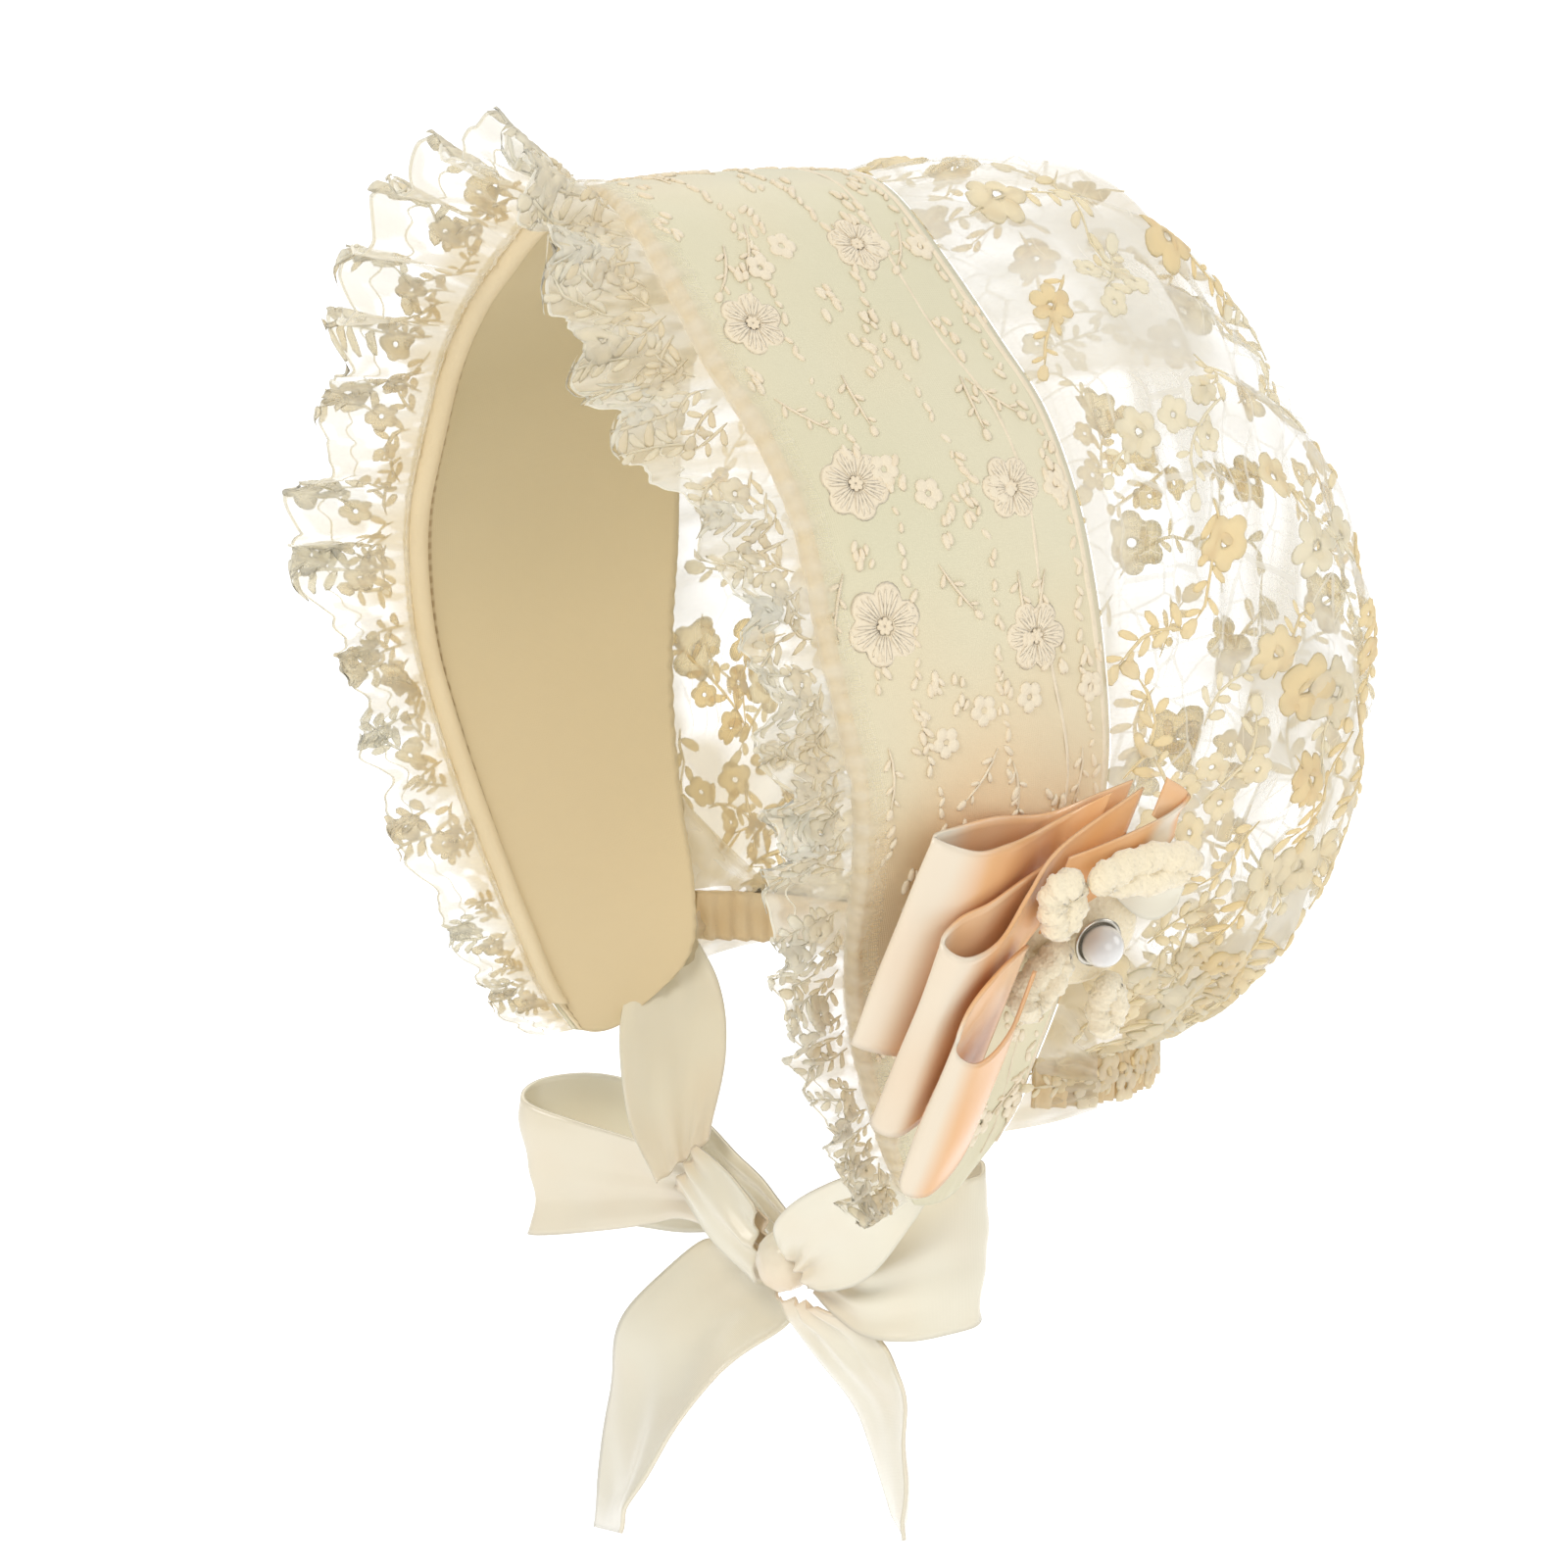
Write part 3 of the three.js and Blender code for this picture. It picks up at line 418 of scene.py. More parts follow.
def crown_point(side, back, out=0.0):
    side, back, out = arrays(side, back, out)
    normal = normal_of(crown_smooth, np.clip(side, -0.998, 0.998), np.clip(back, 0.002, 0.998))
    share = (side + 1) / 2
    rise = np.sin(np.minimum(1, back * 4) * math.pi / 2)
    rise = rise * np.sin(np.minimum(1, (1 - back) * 4) * math.pi / 2)
    fade = 0.35 + 0.65 * np.abs(2 * back - 1)
    fold = np.cos(WAVE * CROWN_GATHERS * share + 0.7 * np.sin(5 * side))
    ends = np.clip((1 - np.abs(side)) * 8, 0, 1)
    lift = CROWN_GATHER_HEIGHT * rise * fade * ends * fold
    near = np.exp(-back * 14) + np.exp(-(1 - back) * 12)
    pucker = 0.7 * near * np.sin(WAVE * 53 * share + 2 * np.sin(9 * side)) * smoothstep(0, 0.02, back)
    crumple = 1.1 * ripple(side * 13, back * 17, 3.0) * rise * ends
    return crown_smooth(side, back) + normal * (lift + pucker + crumple + out)[..., None]


# Meshes
def build(name, points, faces, material, nodes=(), values=None, spread=None):
    """A mesh object from points in millimetres.

    values are named numbers on its points, spread the place of each point on the flat cloth.
    """
    mesh = bpy.data.meshes.new(name)
    mesh.from_pydata((np.asarray(points) * MM).tolist(), [], [list(map(int, f)) for f in faces])
    mesh.validate()
    for key, numbers in (values or {}).items():
        layer = mesh.attributes.new(key, "FLOAT", "POINT")
        layer.data.foreach_set("value", np.asarray(numbers, np.float32))
    if spread is not None:
        loops = np.zeros(len(mesh.loops), np.int32)
        mesh.loops.foreach_get("vertex_index", loops)
        layer = mesh.uv_layers.new(name="cloth")
        layer.data.foreach_set("uv", np.asarray(spread, np.float32)[loops].ravel())
    mesh.polygons.foreach_set("use_smooth", [True] * len(mesh.polygons))
    obj = bpy.data.objects.new(name, mesh)
    bpy.context.scene.collection.objects.link(obj)
    mesh.materials.append(material)
    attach(obj, "root")
    if nodes:
        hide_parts(*nodes)
    return obj


def grid_faces(rows, columns):
    """Faces of a grid of (rows + 1) by (columns + 1) points, and the grid of their indices."""
    index = np.arange((rows + 1) * (columns + 1)).reshape(rows + 1, columns + 1)
    corners = [index[:-1, :-1], index[:-1, 1:], index[1:, 1:], index[1:, :-1]]
    return np.stack(corners, -1).reshape(-1, 4), index


def wall_faces(rows, columns):
    """Faces of a closed wall between two grids of points."""
    near_faces, index = grid_faces(rows, columns)
    far = index + index.size
    rims = []
    for line, other, flip in (
        (index[0], far[0], True),
        (index[-1], far[-1], False),
        (index[:, 0], far[:, 0], False),
        (index[:, -1], far[:, -1], True),
    ):
        quad = np.stack([line[:-1], line[1:], other[1:], other[:-1]], -1)
        rims.append(quad[:, ::-1] if flip else quad)
    return np.vstack([near_faces, near_faces[:, ::-1] + index.size] + rims)


def ring_faces(rings, sides, loop=False, flip=False):
    """Faces between rings of points, one ring after the other; loop joins the last to the first."""
    faces = []
    for k in range(rings if loop else rings - 1):
        here, there = k * sides, (k + 1) % rings * sides
        for i in range(sides):
            j = (i + 1) % sides
            if flip:
                faces.append((here + i, there + i, there + j, here + j))
            else:
                faces.append((here + i, here + j, there + j, there + i))
    return faces


def closed_faces(rings, sides, flip=False):
    """Ring faces closed by two end points, which come after the rings."""
    faces = ring_faces(rings, sides, flip=flip)
    tip, last = rings * sides, (rings - 1) * sides
    for i in range(sides):
        j = (i + 1) % sides
        first, second = (i, j) if flip else (j, i)
        faces.append((tip, first, second))
        faces.append((tip + 1, last + second, last + first))
    return faces


def cloth_wall(name, outer, inner, material, nodes=(), values=None, spread=None):
    rows, columns = outer.shape[0] - 1, outer.shape[1] - 1
    points = np.vstack([outer.reshape(-1, 3), inner.reshape(-1, 3)])
    both = {}
    for key, v in (values or {}).items():
        first, second = v if isinstance(v, tuple) else (v, v)
        both[key] = np.concatenate([first.ravel(), second.ravel()])
    uv = None
    if spread is not None:
        flat = np.stack([spread[0].ravel(), spread[1].ravel()], -1)
        uv = np.vstack([flat, flat])
    return build(name, points, wall_faces(rows, columns), material, nodes, both, uv)


def cloth_sheet(name, face, material, nodes=(), values=None, spread=None):
    """A single layer of thin cloth over a grid of points."""
    faces = grid_faces(face.shape[0] - 1, face.shape[1] - 1)[0]
    flat = {key: v.ravel() for key, v in (values or {}).items()}
    uv = np.stack([spread[0].ravel(), spread[1].ravel()], -1)
    return build(name, face.reshape(-1, 3), faces, material, nodes, flat, uv)


def grid(count_a, count_b, low=-1.0, high=1.0):
    """Grids of the two surface coordinates, rows along b."""
    return np.meshgrid(np.linspace(low, high, count_a + 1), np.linspace(0, 1, count_b + 1))


def spaced(k, count, reach):
    """Place k of count between -reach and reach."""
    return reach * (2 * k / count - 1)


class Pieces:
    """Many small worked pieces on one surface, joined as one mesh."""

    def __init__(self, surface, flat=None):
        self.surface = surface
        self.flat = flat or surface
        self.a = []
        self.b = []
        self.out = []
        self.faces = []
        self.tone = []
        self.count = 0

    def frame_at(self, a, b):
        """Steps of a and b for a millimetre along and across, at one place."""
        step = 1e-3
        here = self.flat(vec(a), vec(b))[0]
        pa = (self.flat(vec(a + step), vec(b))[0] - here) / step
        pb = (self.flat(vec(a), vec(b + step))[0] - here) / step
        first = unit(pa)
        rest = pb - first * pb.dot(first)
        size = np.linalg.norm(rest)
        length = np.linalg.norm(pa)
        return np.array([[1 / length, -pb.dot(first) / size / length], [0, 1 / size]])

    def put(self, a, b, steps, local, out, faces, tone):
        moved = local @ steps.T
        self.a.append(a + moved[:, 0])
        self.b.append(b + moved[:, 1])
        self.out.append(out)
        self.faces.extend([tuple(int(i) + self.count for i in f) for f in faces])
        self.tone.append(np.full(len(local), tone))
        self.count += len(local)

    def blob(self, a, b, steps, centre, angle, length, width, height, lift=0.1, tone=0.5, sides=10):
        """A padded leaf or petal, longer along its angle and fuller at its far end."""
        turn = np.arange(sides) * WAVE / sides
        c, s = math.cos(angle), math.sin(angle)
        rings = []
        outs = []
        for size, rise in ((1.0, 0.0), (0.72, 0.75), (0.72, -0.1)):
            x = np.cos(turn) * length / 2 * size
            y = np.sin(turn) * width / 2 * size * (0.84 + 0.16 * np.cos(turn))
            rings.append(np.stack([centre[0] + x * c - y * s, centre[1] + x * s + y * c], -1))
            outs.append(np.full(sides, lift + rise * height))
        local = np.vstack([rings[0], rings[1], [centre], rings[2], [centre]])
        out = np.concatenate([outs[0], outs[1], [lift + height], outs[2], [lift - 0.1 * height]])
        top, under, bottom = 2 * sides, 2 * sides + 1, 3 * sides + 1
        faces = ring_faces(2, sides)
        for i in range(sides):
            j = (i + 1) % sides
            faces.append((sides + i, sides + j, top))
            faces.append((j, i, under + i, under + j))
            faces.append((under + j, under + i, bottom))
        self.put(a, b, steps, local, out, faces, tone)

    def flower(
        self, a, b, radius, petals, angle, height,
        lift=0.1, tone=0.5, hole=0.14, centre=(0.0, 0.0), deep=0.34,
    ):
        """A lobed ring: petals round a small open centre."""
        steps = self.frame_at(a, b)
        sides = petals * 7
        turn = np.arange(sides) * WAVE / sides
        lobe = np.abs(np.cos(petals * (turn - angle) / 2))
        edge = 1 - deep + deep * lobe**0.55
        groove = 0.45 + 0.55 * lobe**0.5
        rings = []
        outs = []
        upper = ((hole, 0.0), (0.3, 0.7), (0.62, 1.0), (0.9, 0.85), (1.0, 0.0))
        for size, rise in upper + ((0.62, -0.1), (0.3, -0.1)):
            shape = 1 + (edge - 1) * smoothstep(0.3, 0.9, size)
            reach = radius * size * shape
            rings.append(np.stack([centre[0] + reach * np.cos(turn), centre[1] + reach * np.sin(turn)], -1))
            outs.append(lift + height * rise * (groove if rise > 0 else 1.0) + 0 * turn)
        faces = ring_faces(len(rings), sides, loop=True, flip=True)
        self.put(a, b, steps, np.vstack(rings), np.concatenate(outs), faces, tone)

    def stem(self, a, b, steps, line, width, height, lift=0.08, tone=0.4):
        """A corded thread along a line of local points."""
        line = np.asarray(line, float)
        along = unit(np.gradient(line, axis=0))
        side = np.stack([-along[:, 1], along[:, 0]], -1)
        taper = np.ones(len(line))
        taper[0] = taper[-1] = 0.35
        local = []
        out = []
        for offset, rise in ((-0.5, 0.3), (0.0, 1.0), (0.5, 0.3), (0.0, -0.1)):
            local.append(line + side * (offset * width * taper)[:, None])
            out.append(np.full(len(line), lift + rise * height))
        local = np.stack(local, 1).reshape(-1, 2)
        out = np.stack(out, 1).ravel()
        end = (len(line) - 1) * 4
        faces = [(3, 2, 1, 0)] + ring_faces(len(line), 4) + [(end, end + 1, end + 2, end + 3)]
        self.put(a, b, steps, local, out, faces, tone)

    def cord(self, line, half, rise, tone):
        """A ridge along a line of surface coordinates, with its half width across and its rise."""
        local = np.stack([line - [0, half], line, line + [0, half]], 1).reshape(-1, 2)
        out = np.stack([0 * rise, rise, 0 * rise], -1).ravel()
        faces = [
            (i * 3 + m, i * 3 + m + 1, i * 3 + m + 4, i * 3 + m + 3)
            for i in range(len(line) - 1)
            for m in range(2)
        ]
        self.put(0.0, 0.0, np.eye(2), local, out, faces, tone)

    def spray(self, a, b, heading, length, leaves, leaf, height, bend=0.5, tone=0.5, lift=0.08):
        """A bent stem with leaves on both sides and a bud at its tip."""
        steps = self.frame_at(a, b)
        t = np.linspace(0, 1, max(5, int(length / 2.2)))
        turn = heading + bend * t
        step = length / (len(t) - 1)
        line = np.cumsum(np.stack([np.cos(turn), np.sin(turn)], -1) * step, axis=0)
        line = line - length / 2 * np.array([math.cos(heading), math.sin(heading)])
        self.stem(a, b, steps, line, 0.55, height * 0.7, lift=lift, tone=tone)
        for k in range(leaves):
            share = (k + 0.7) / (leaves + 0.4)
            side = 1 if k % 2 else -1
            root = np.array([np.interp(share, t, line[:, 0]), np.interp(share, t, line[:, 1])])
            angle = heading + bend * share + side * 0.85
            size = leaf * (1.05 - 0.35 * share)
            middle = root + np.array([math.cos(angle), math.sin(angle)]) * size * 0.55
            self.blob(a, b, steps, middle, angle, size, size * 0.46, height, lift, tone + 0.05 * side, 8)
        tip = line[-1] + np.array([math.cos(turn[-1]), math.sin(turn[-1])]) * leaf * 0.4
        self.blob(a, b, steps, tip, turn[-1], leaf * 0.9, leaf * 0.7, height * 1.2, lift, tone + 0.1, 8)

    def make(self, name, material, nodes=(), low_b=None, high_b=None):
        a = np.concatenate(self.a)
        b = np.concatenate(self.b)
        if low_b is not None:
            b = np.clip(b, low_b, high_b)
        points = self.surface(a, b, np.concatenate(self.out))
        values = {"tone": np.concatenate(self.tone)}
        return build(name, points, self.faces, material, nodes, values)


# Materials
def shader(name):
    material = bpy.data.materials.new(name)
    material.use_nodes = True
    tree = material.node_tree
    tree.nodes.clear()
    return material, tree


def node(tree, kind, inputs=None, **settings):
    """A shader node; inputs are numbers, colours or other nodes' outputs, by socket name or number."""
    made = tree.nodes.new(kind)
    for key, value in settings.items():
        setattr(made, key, value)
    for key, value in (inputs or {}).items():
        if isinstance(value, bpy.types.NodeSocket):
            tree.links.new(value, made.inputs[key])
        elif isinstance(value, tuple):
            made.inputs[key].default_value = (*value, 1.0)
        else:
            made.inputs[key].default_value = value
    return made


def coordinates(tree, kind):
    return node(tree, "ShaderNodeTexCoord").outputs[kind]


def two_tone(tree, factor, first, second):
    return node(tree, "ShaderNodeMix", {0: factor, 6: first, 7: second}, data_type="RGBA").outputs[2]


def attribute(tree, name):
    return node(tree, "ShaderNodeAttribute", attribute_name=name).outputs["Fac"]


def span(tree, value, low, high, to_low, to_high):
    return node(tree, "ShaderNodeMapRange", {0: value, 1: low, 2: high, 3: to_low, 4: to_high}).outputs[0]


def arithmetic(tree, operation, first, second=0.0):
    return node(tree, "ShaderNodeMath", {0: first, 1: second}, operation=operation).outputs[0]


def noise(tree, place, scale, detail):
    inputs = {"Vector": place, "Scale": scale, "Detail": detail}
    return node(tree, "ShaderNodeTexNoise", inputs).outputs["Fac"]


def shader_mix(tree, factor, first, second):
    return node(tree, "ShaderNodeMixShader", {0: factor, 1: first, 2: second}).outputs[0]


def translucent(tree, base):
    return node(tree, "ShaderNodeBsdfTranslucent", {"Color": base}).outputs[0]


def principled(tree, inputs):
    return node(tree, "ShaderNodeBsdfPrincipled", inputs).outputs[0]


def relief(tree, height, strength, distance):
    inputs = {"Height": height, "Strength": strength, "Distance": distance}
    return node(tree, "ShaderNodeBump", inputs).outputs[0]


def weave(tree, place, pitch):
    """Crossed threads, pitch in metres."""
    inputs = {"Vector": place, "Scale": 1 / pitch / 3.0, "Distortion": 0.6, "Detail": 1.0}
    threads = [
        node(tree, "ShaderNodeTexWave", inputs, bands_direction=direction).outputs["Fac"]
        for direction in ("X", "Y")
    ]
    return arithmetic(tree, "ADD", *threads)


def finish(tree, surface):
    node(tree, "ShaderNodeOutputMaterial", {"Surface": surface})


STITCH_COLOUR = (0.42, 0.3, 0.16)
STITCH_LENGTH = 0.0024


def cloth(
    name, first, second, rough,
    sheen=0.2, bump=0.2, grain=0.0006, through=0.0, tone=None, painted_warm_shade=None, seam=None,
):
    """Cloth of two close colours with a fine weave.

    through is the share of light that passes it, the next colour a painted warm shade laid where its value
    is high, and seam the distance of a stitched line from the cloth's edge.
    """
    material, tree = shader(name)
    flat = coordinates(tree, "UV")
    place = coordinates(tree, "Object")
    cloudy = noise(tree, place, 60.0, 3.0) if tone is None else attribute(tree, tone)
    base = two_tone(tree, cloudy, first, second)
    fine = noise(tree, place, 1 / grain, 1.0)
    if painted_warm_shade is not None:
        base = two_tone(tree, attribute(tree, "painted_warm_shade"), base, painted_warm_shade)
    if painted_warm_shade is not None or seam is not None:
        fine = arithmetic(tree, "ADD", fine, weave(tree, flat, grain))
    if seam is not None:
        along, from_edge = node(tree, "ShaderNodeSeparateXYZ", {0: flat}).outputs[:2]
        off = arithmetic(tree, "ABSOLUTE", arithmetic(tree, "SUBTRACT", from_edge, seam))
        stitch = arithmetic(tree, "SINE", arithmetic(tree, "MULTIPLY", along, WAVE / STITCH_LENGTH))
        line = span(tree, off, 0.0002, 0.0006, 1.0, 0.0)
        line = arithmetic(tree, "MULTIPLY", line, span(tree, stitch, -0.7, 0.3, 0.45, 1.0))
        base = two_tone(tree, line, base, STITCH_COLOUR)
    surface = principled(tree, {
        "Base Color": base, "Roughness": rough, "Sheen Weight": sheen, "Specular IOR Level": 0.3,
        "Normal": relief(tree, fine, bump, grain * 0.5),
    })
    if through > 0:
        surface = shader_mix(tree, through, surface, translucent(tree, base))
    finish(tree, surface)
    return material


VEIN_CELL = 0.0075
VEIN_WIDTH = 0.045


def net(name, tint, shaded, cell, thread, thick, strong, veins):
    """Fine net: threads round open cells, cloudy where the haze value is high, darker where shade is.

    thick is the cover of the densest haze, strong that of the threads, veins that of thin worked lines.
    """
    material, tree = shader(name)
    place = coordinates(tree, "UV")

    def lines(size, width, cover, uneven):
        cells = node(
            tree, "ShaderNodeTexVoronoi", {"Vector": place, "Scale": 1 / size, "Randomness": uneven},
            feature="DISTANCE_TO_EDGE", voronoi_dimensions="2D",
        )
        return span(tree, cells.outputs["Distance"], width * 0.5, width, cover, 0.0)

    haze = span(tree, attribute(tree, "haze"), 0.0, 1.0, 0.0, thick)
    cover = arithmetic(tree, "MAXIMUM", lines(cell, thread, strong, 0.35), haze)
    cover = arithmetic(tree, "MAXIMUM", cover, lines(VEIN_CELL, VEIN_WIDTH, veins, 0.9))
    base = two_tone(tree, attribute(tree, "shade"), tint, shaded)
    skin = principled(tree, {"Base Color": base, "Roughness": 0.6, "Sheen Weight": 0.3})
    clear = node(tree, "ShaderNodeBsdfTransparent").outputs[0]
    threads = shader_mix(tree, 0.5, skin, translucent(tree, base))
    finish(tree, shader_mix(tree, cover, clear, threads))
    return material


def satin_cloth(name, first, second, rough):
    """Ribbon satin: its second colour is painted warm shade, laid into folds and near knots."""
    material, tree = shader(name)
    base = two_tone(tree, attribute(tree, "painted_shade"), first, second)
    threads = node(
        tree, "ShaderNodeTexWave",
        {"Vector": coordinates(tree, "UV"), "Scale": 1400.0, "Distortion": 0.4},
        bands_direction="Y",
    )
    finish(tree, principled(tree, {
        "Base Color": base, "Roughness": rough, "Sheen Weight": 0.15, "Specular IOR Level": 0.55,
        "Normal": relief(tree, threads.outputs["Fac"], 0.08, 0.0001),
    }))
    return material


def gloss(name, tint, rough, metal, coat):
    material, tree = shader(name)
    cloudy = noise(tree, coordinates(tree, "Object"), 300.0, 2.0)
    base = two_tone(tree, cloudy, tint, tuple(min(1.0, v * 1.05) for v in tint))
    finish(tree, principled(tree, {
        "Base Color": base, "Roughness": rough, "Metallic": metal,
        "Coat Weight": coat, "Coat Roughness": 0.05,
    }))
    return material


SILK = cloth(
    "silk", (0.7, 0.66, 0.46), (0.77, 0.71, 0.52), 0.55,
    bump=0.12, grain=0.0004, tone="tone", painted_warm_shade=(0.88, 0.62, 0.36),
)
RAISED = cloth(
    "raised_lace", (0.82, 0.68, 0.48), (0.86, 0.76, 0.58), 0.8,
    sheen=0.3, bump=0.5, grain=0.0005, tone="tone",
)
LINING = cloth(
    "lining", (0.61, 0.51, 0.3), (0.79, 0.65, 0.41), 0.5,
    sheen=0.15, bump=0.08, grain=0.0004, tone="tone", seam=0.0021,
)
FOLD = cloth("edge_fold", (0.74, 0.6, 0.37), (0.8, 0.67, 0.44), 0.6)
LACE = cloth(
    "back_lace", (0.98, 0.86, 0.58), (0.98, 0.95, 0.84), 0.85,
    sheen=0.4, bump=0.35, through=0.55, tone="tone",
)
FRILL = cloth(
    "frill_lace", (0.93, 0.84, 0.64), (0.96, 0.94, 0.85), 0.85,
    sheen=0.3, bump=0.4, grain=0.0005, through=0.5, tone="tone",
)
CASING = cloth(
    "nape_cloth", (0.78, 0.6, 0.34), (0.84, 0.7, 0.46), 0.8,
    sheen=0.3, bump=0.4, grain=0.0005, through=0.25, tone="tone",
)
CHENILLE = cloth(
    "chenille", (0.9, 0.77, 0.52), (0.95, 0.87, 0.69), 0.9,
    sheen=0.6, bump=1.0, grain=0.0007,
)
BACK_NET = net("back_net", (0.88, 0.86, 0.79), (0.78, 0.68, 0.47), 0.0010, 0.1, 0.8, 0.3, 0.6)
FRILL_NET = net("frill_net", (0.93, 0.9, 0.8), (0.84, 0.72, 0.48), 0.0010, 0.12, 0.85, 0.3, 0.35)
SATIN = satin_cloth("satin", (0.82, 0.77, 0.62), (0.8, 0.6, 0.4), 0.24)
PLEAT_SATIN = satin_cloth("pleat_satin", (0.84, 0.78, 0.64), (0.84, 0.45, 0.18), 0.2)
PEARL = gloss("pearl", (0.78, 0.77, 0.75), 0.12, 0.0, 0.8)
CUP = gloss("cup", (0.6, 0.57, 0.5), 0.25, 1.0, 0.0)

# Silk band: its outer face with soft unevenness, and the lining inside it
HALF_RUN = 200.0
a, b = grid(260, 34)
outer = band_middle(a, b)
normals = band_normal(a, b)
arc = a * HALF_RUN
band_flat = (arc * MM, b * BAND_DEPTH * MM)
uneven = 0.12 * ripple(arc * 0.2, b * 9, 1.0) + 0.1 * ripple(arc * 0.5, b * 20, 2.0)
edge = smoothstep(0, 0.06, b) * smoothstep(0, 0.06, 1 - b)
outer_face = outer + normals * (uneven * edge)[..., None]
inner_face = outer - normals * 0.9
tone = np.clip(0.5 + 0.4 * ripple(arc * 0.05, b * 3, 4.0), 0, 1)
# Painted warm shade on the silk: peach round the pleated ornament, with a little random tone mixed in
near_ornament = np.linalg.norm(outer - from_crown(58, 30, -92), axis=-1)
painted_warm_shade = 0.75 * np.exp(-((near_ornament / 24) ** 2))
painted_warm_shade = np.clip(painted_warm_shade + 0.12 * ripple(arc * 0.09, b * 5, 11.0), 0, 1)
band_outer = cloth_wall(
    "silk_band", outer_face, inner_face, SILK, ["band_outer"],
    {"tone": tone, "painted_warm_shade": painted_warm_shade}, band_flat,
)

lining_outer = outer - normals * 1.35
pinch = 0.25 * np.sin(arc * 2.1) * (np.exp(-b * 16) + np.exp(-(1 - b) * 16)) * smoothstep(0, 0.02, b)
pinch = pinch + 0.2 * ripple(arc * 0.06, b * 2, 5.0)
lining_inner = outer - normals * (BAND_STACK - 0.1 + pinch)[..., None]
# The lining's tone is painted shade: darker at the crown, lighter toward the cheeks, with random tone mixed
# in
lining = cloth_wall(
    "satin_lining", lining_outer, lining_inner, LINING, ["band_lining"],
    {"tone": np.clip(smoothstep(0.25, 0.95, np.abs(a)) + 0.3 * (tone - 0.5), 0, 1)}, band_flat,
)

# Fold that holds the ruffle to the band: its rings have back and out in millimetres
FOLD_SIDES = 12
around = np.linspace(-0.95, 0.95, 361)
depth = band_depth(around)
rings = []
for k in range(FOLD_SIDES):
    angle = WAVE * k / FOLD_SIDES
    back_mm = 0.45 + 1.45 * math.cos(angle)
    out_mm = -BAND_STACK / 2 - 0.1 + (1.5 if angle < math.pi else 2.2) * math.sin(angle)
    rings.append(band_point(around, back_mm / depth, out_mm))
fold_points = np.stack(rings, 1).reshape(-1, 3)
fold_faces = ring_faces(len(around), FOLD_SIDES, flip=True)
fold_faces.append(tuple(range(FOLD_SIDES)))
fold_faces.append(tuple(range(len(fold_points) - 1, len(fold_points) - FOLD_SIDES - 1, -1)))
build("edge_fold", fold_points, fold_faces, FOLD, ["face_binding"])

# Raised lace on the band: the large flowers of both sides (around, back, size), then vines
FLOWERS = [
    (0.12, 0.7, 0.8),
    (0.19, 0.18, 0.85),
    (0.345, 0.76, 0.8),
    (0.33, 0.22, 0.9),
    (0.435, 0.2, 1.0),
    (0.46, 0.74, 0.85),
]
worked = Pieces(band_point)
flower_nodes = []
for sign, label in ((1, "left"), (-1, "right")):
    for k, (place, back, size) in enumerate(FLOWERS):
        radius = size * 6.6
        worked.flower(sign * place, back, radius, 6, k * 0.7, 0.32, lift=0.0, tone=0.75, deep=0.3)
        for petal in range(6):
            turn = k * 0.7 + petal * WAVE / 6
            steps = worked.frame_at(sign * place, back)
            for ridge in (-0.32, -0.11, 0.11, 0.32):
                reach = np.linspace(0.24, 0.9 - abs(ridge) * 0.3, 5) * radius
                line = np.stack([reach * np.cos(turn + ridge), reach * np.sin(turn + ridge)], -1)
                worked.stem(sign * place, back, steps, line, 0.6, 0.1, lift=0.27, tone=0.8)
        worked.flower(sign * place, back, radius * 0.22, 7, k * 0.5, 0.2, lift=0.2, tone=0.5, hole=0.02)
        flower_nodes.append(f"lace_flower_{label}_{k + 1}")
raised = worked.make("raised_flowers", RAISED, flower_nodes)

rng = np.random.default_rng(7)
WORKED = 0.93
VINES = 38
KNOBS = 150
vines = Pieces(band_point)
for line_at in (0.16, 0.42, 0.66, 0.87):
    for k in range(VINES):
        place = spaced(k + 0.5, VINES, WORKED) + 0.016 * math.sin(k * 2.3 + line_at * 30)
        back = line_at + 0.09 * math.sin(k * 1.7 + line_at * 17)
        turn = 0.5 * math.sin(k * 1.3 + line_at * 9) + (0.0 if place > 0 else math.pi)
        steps = vines.frame_at(place, back)
        if k % 3:
            for m in range(int(rng.integers(4, 9))):
                angle = turn + rng.uniform(-0.5, 0.5) + (math.pi if m % 2 else 0)
                centre = (rng.uniform(-3.4, 3.4), rng.uniform(-1.7, 1.7))
                size = rng.uniform(1.7, 3.0)
                tone = rng.uniform(0.4, 1)
                vines.blob(place, back, steps, centre, angle, size, size * 0.55, 0.5, 0.0, tone, 8)
        else:
            bend = 0.6 * math.sin(k * 2.9)
            vines.spray(place, back, turn, 9.5, 4, 2.4, 0.42, bend, 0.6, 0.0)
        if k % 4 == 1:
            vines.flower(place + 0.012, min(0.93, back + 0.09), 2.6, 5, k * 0.9, 0.45, 0.0, 0.9)
for line_at, sway in ((0.93, 0.012), (0.6, 0.03), (0.29, 0.03)):
    for k in range(KNOBS):
        place = spaced(k + rng.uniform(0, 0.8), KNOBS, WORKED)
        back = line_at + sway * math.sin(place * 23 + line_at * 40) + rng.uniform(-0.012, 0.012)
        turn = rng.uniform(0.2, 0.7) * (1 if k % 2 else -1)
        size = rng.uniform(1.5, 2.9)
        tone = rng.uniform(0.4, 1)
        steps = vines.frame_at(place, back)
        vines.blob(place, back, steps, (0.0, 0.0), turn, size, size * 0.5, 0.42, 0.0, tone, 7)
along = np.linspace(-0.95, 0.95, 260)
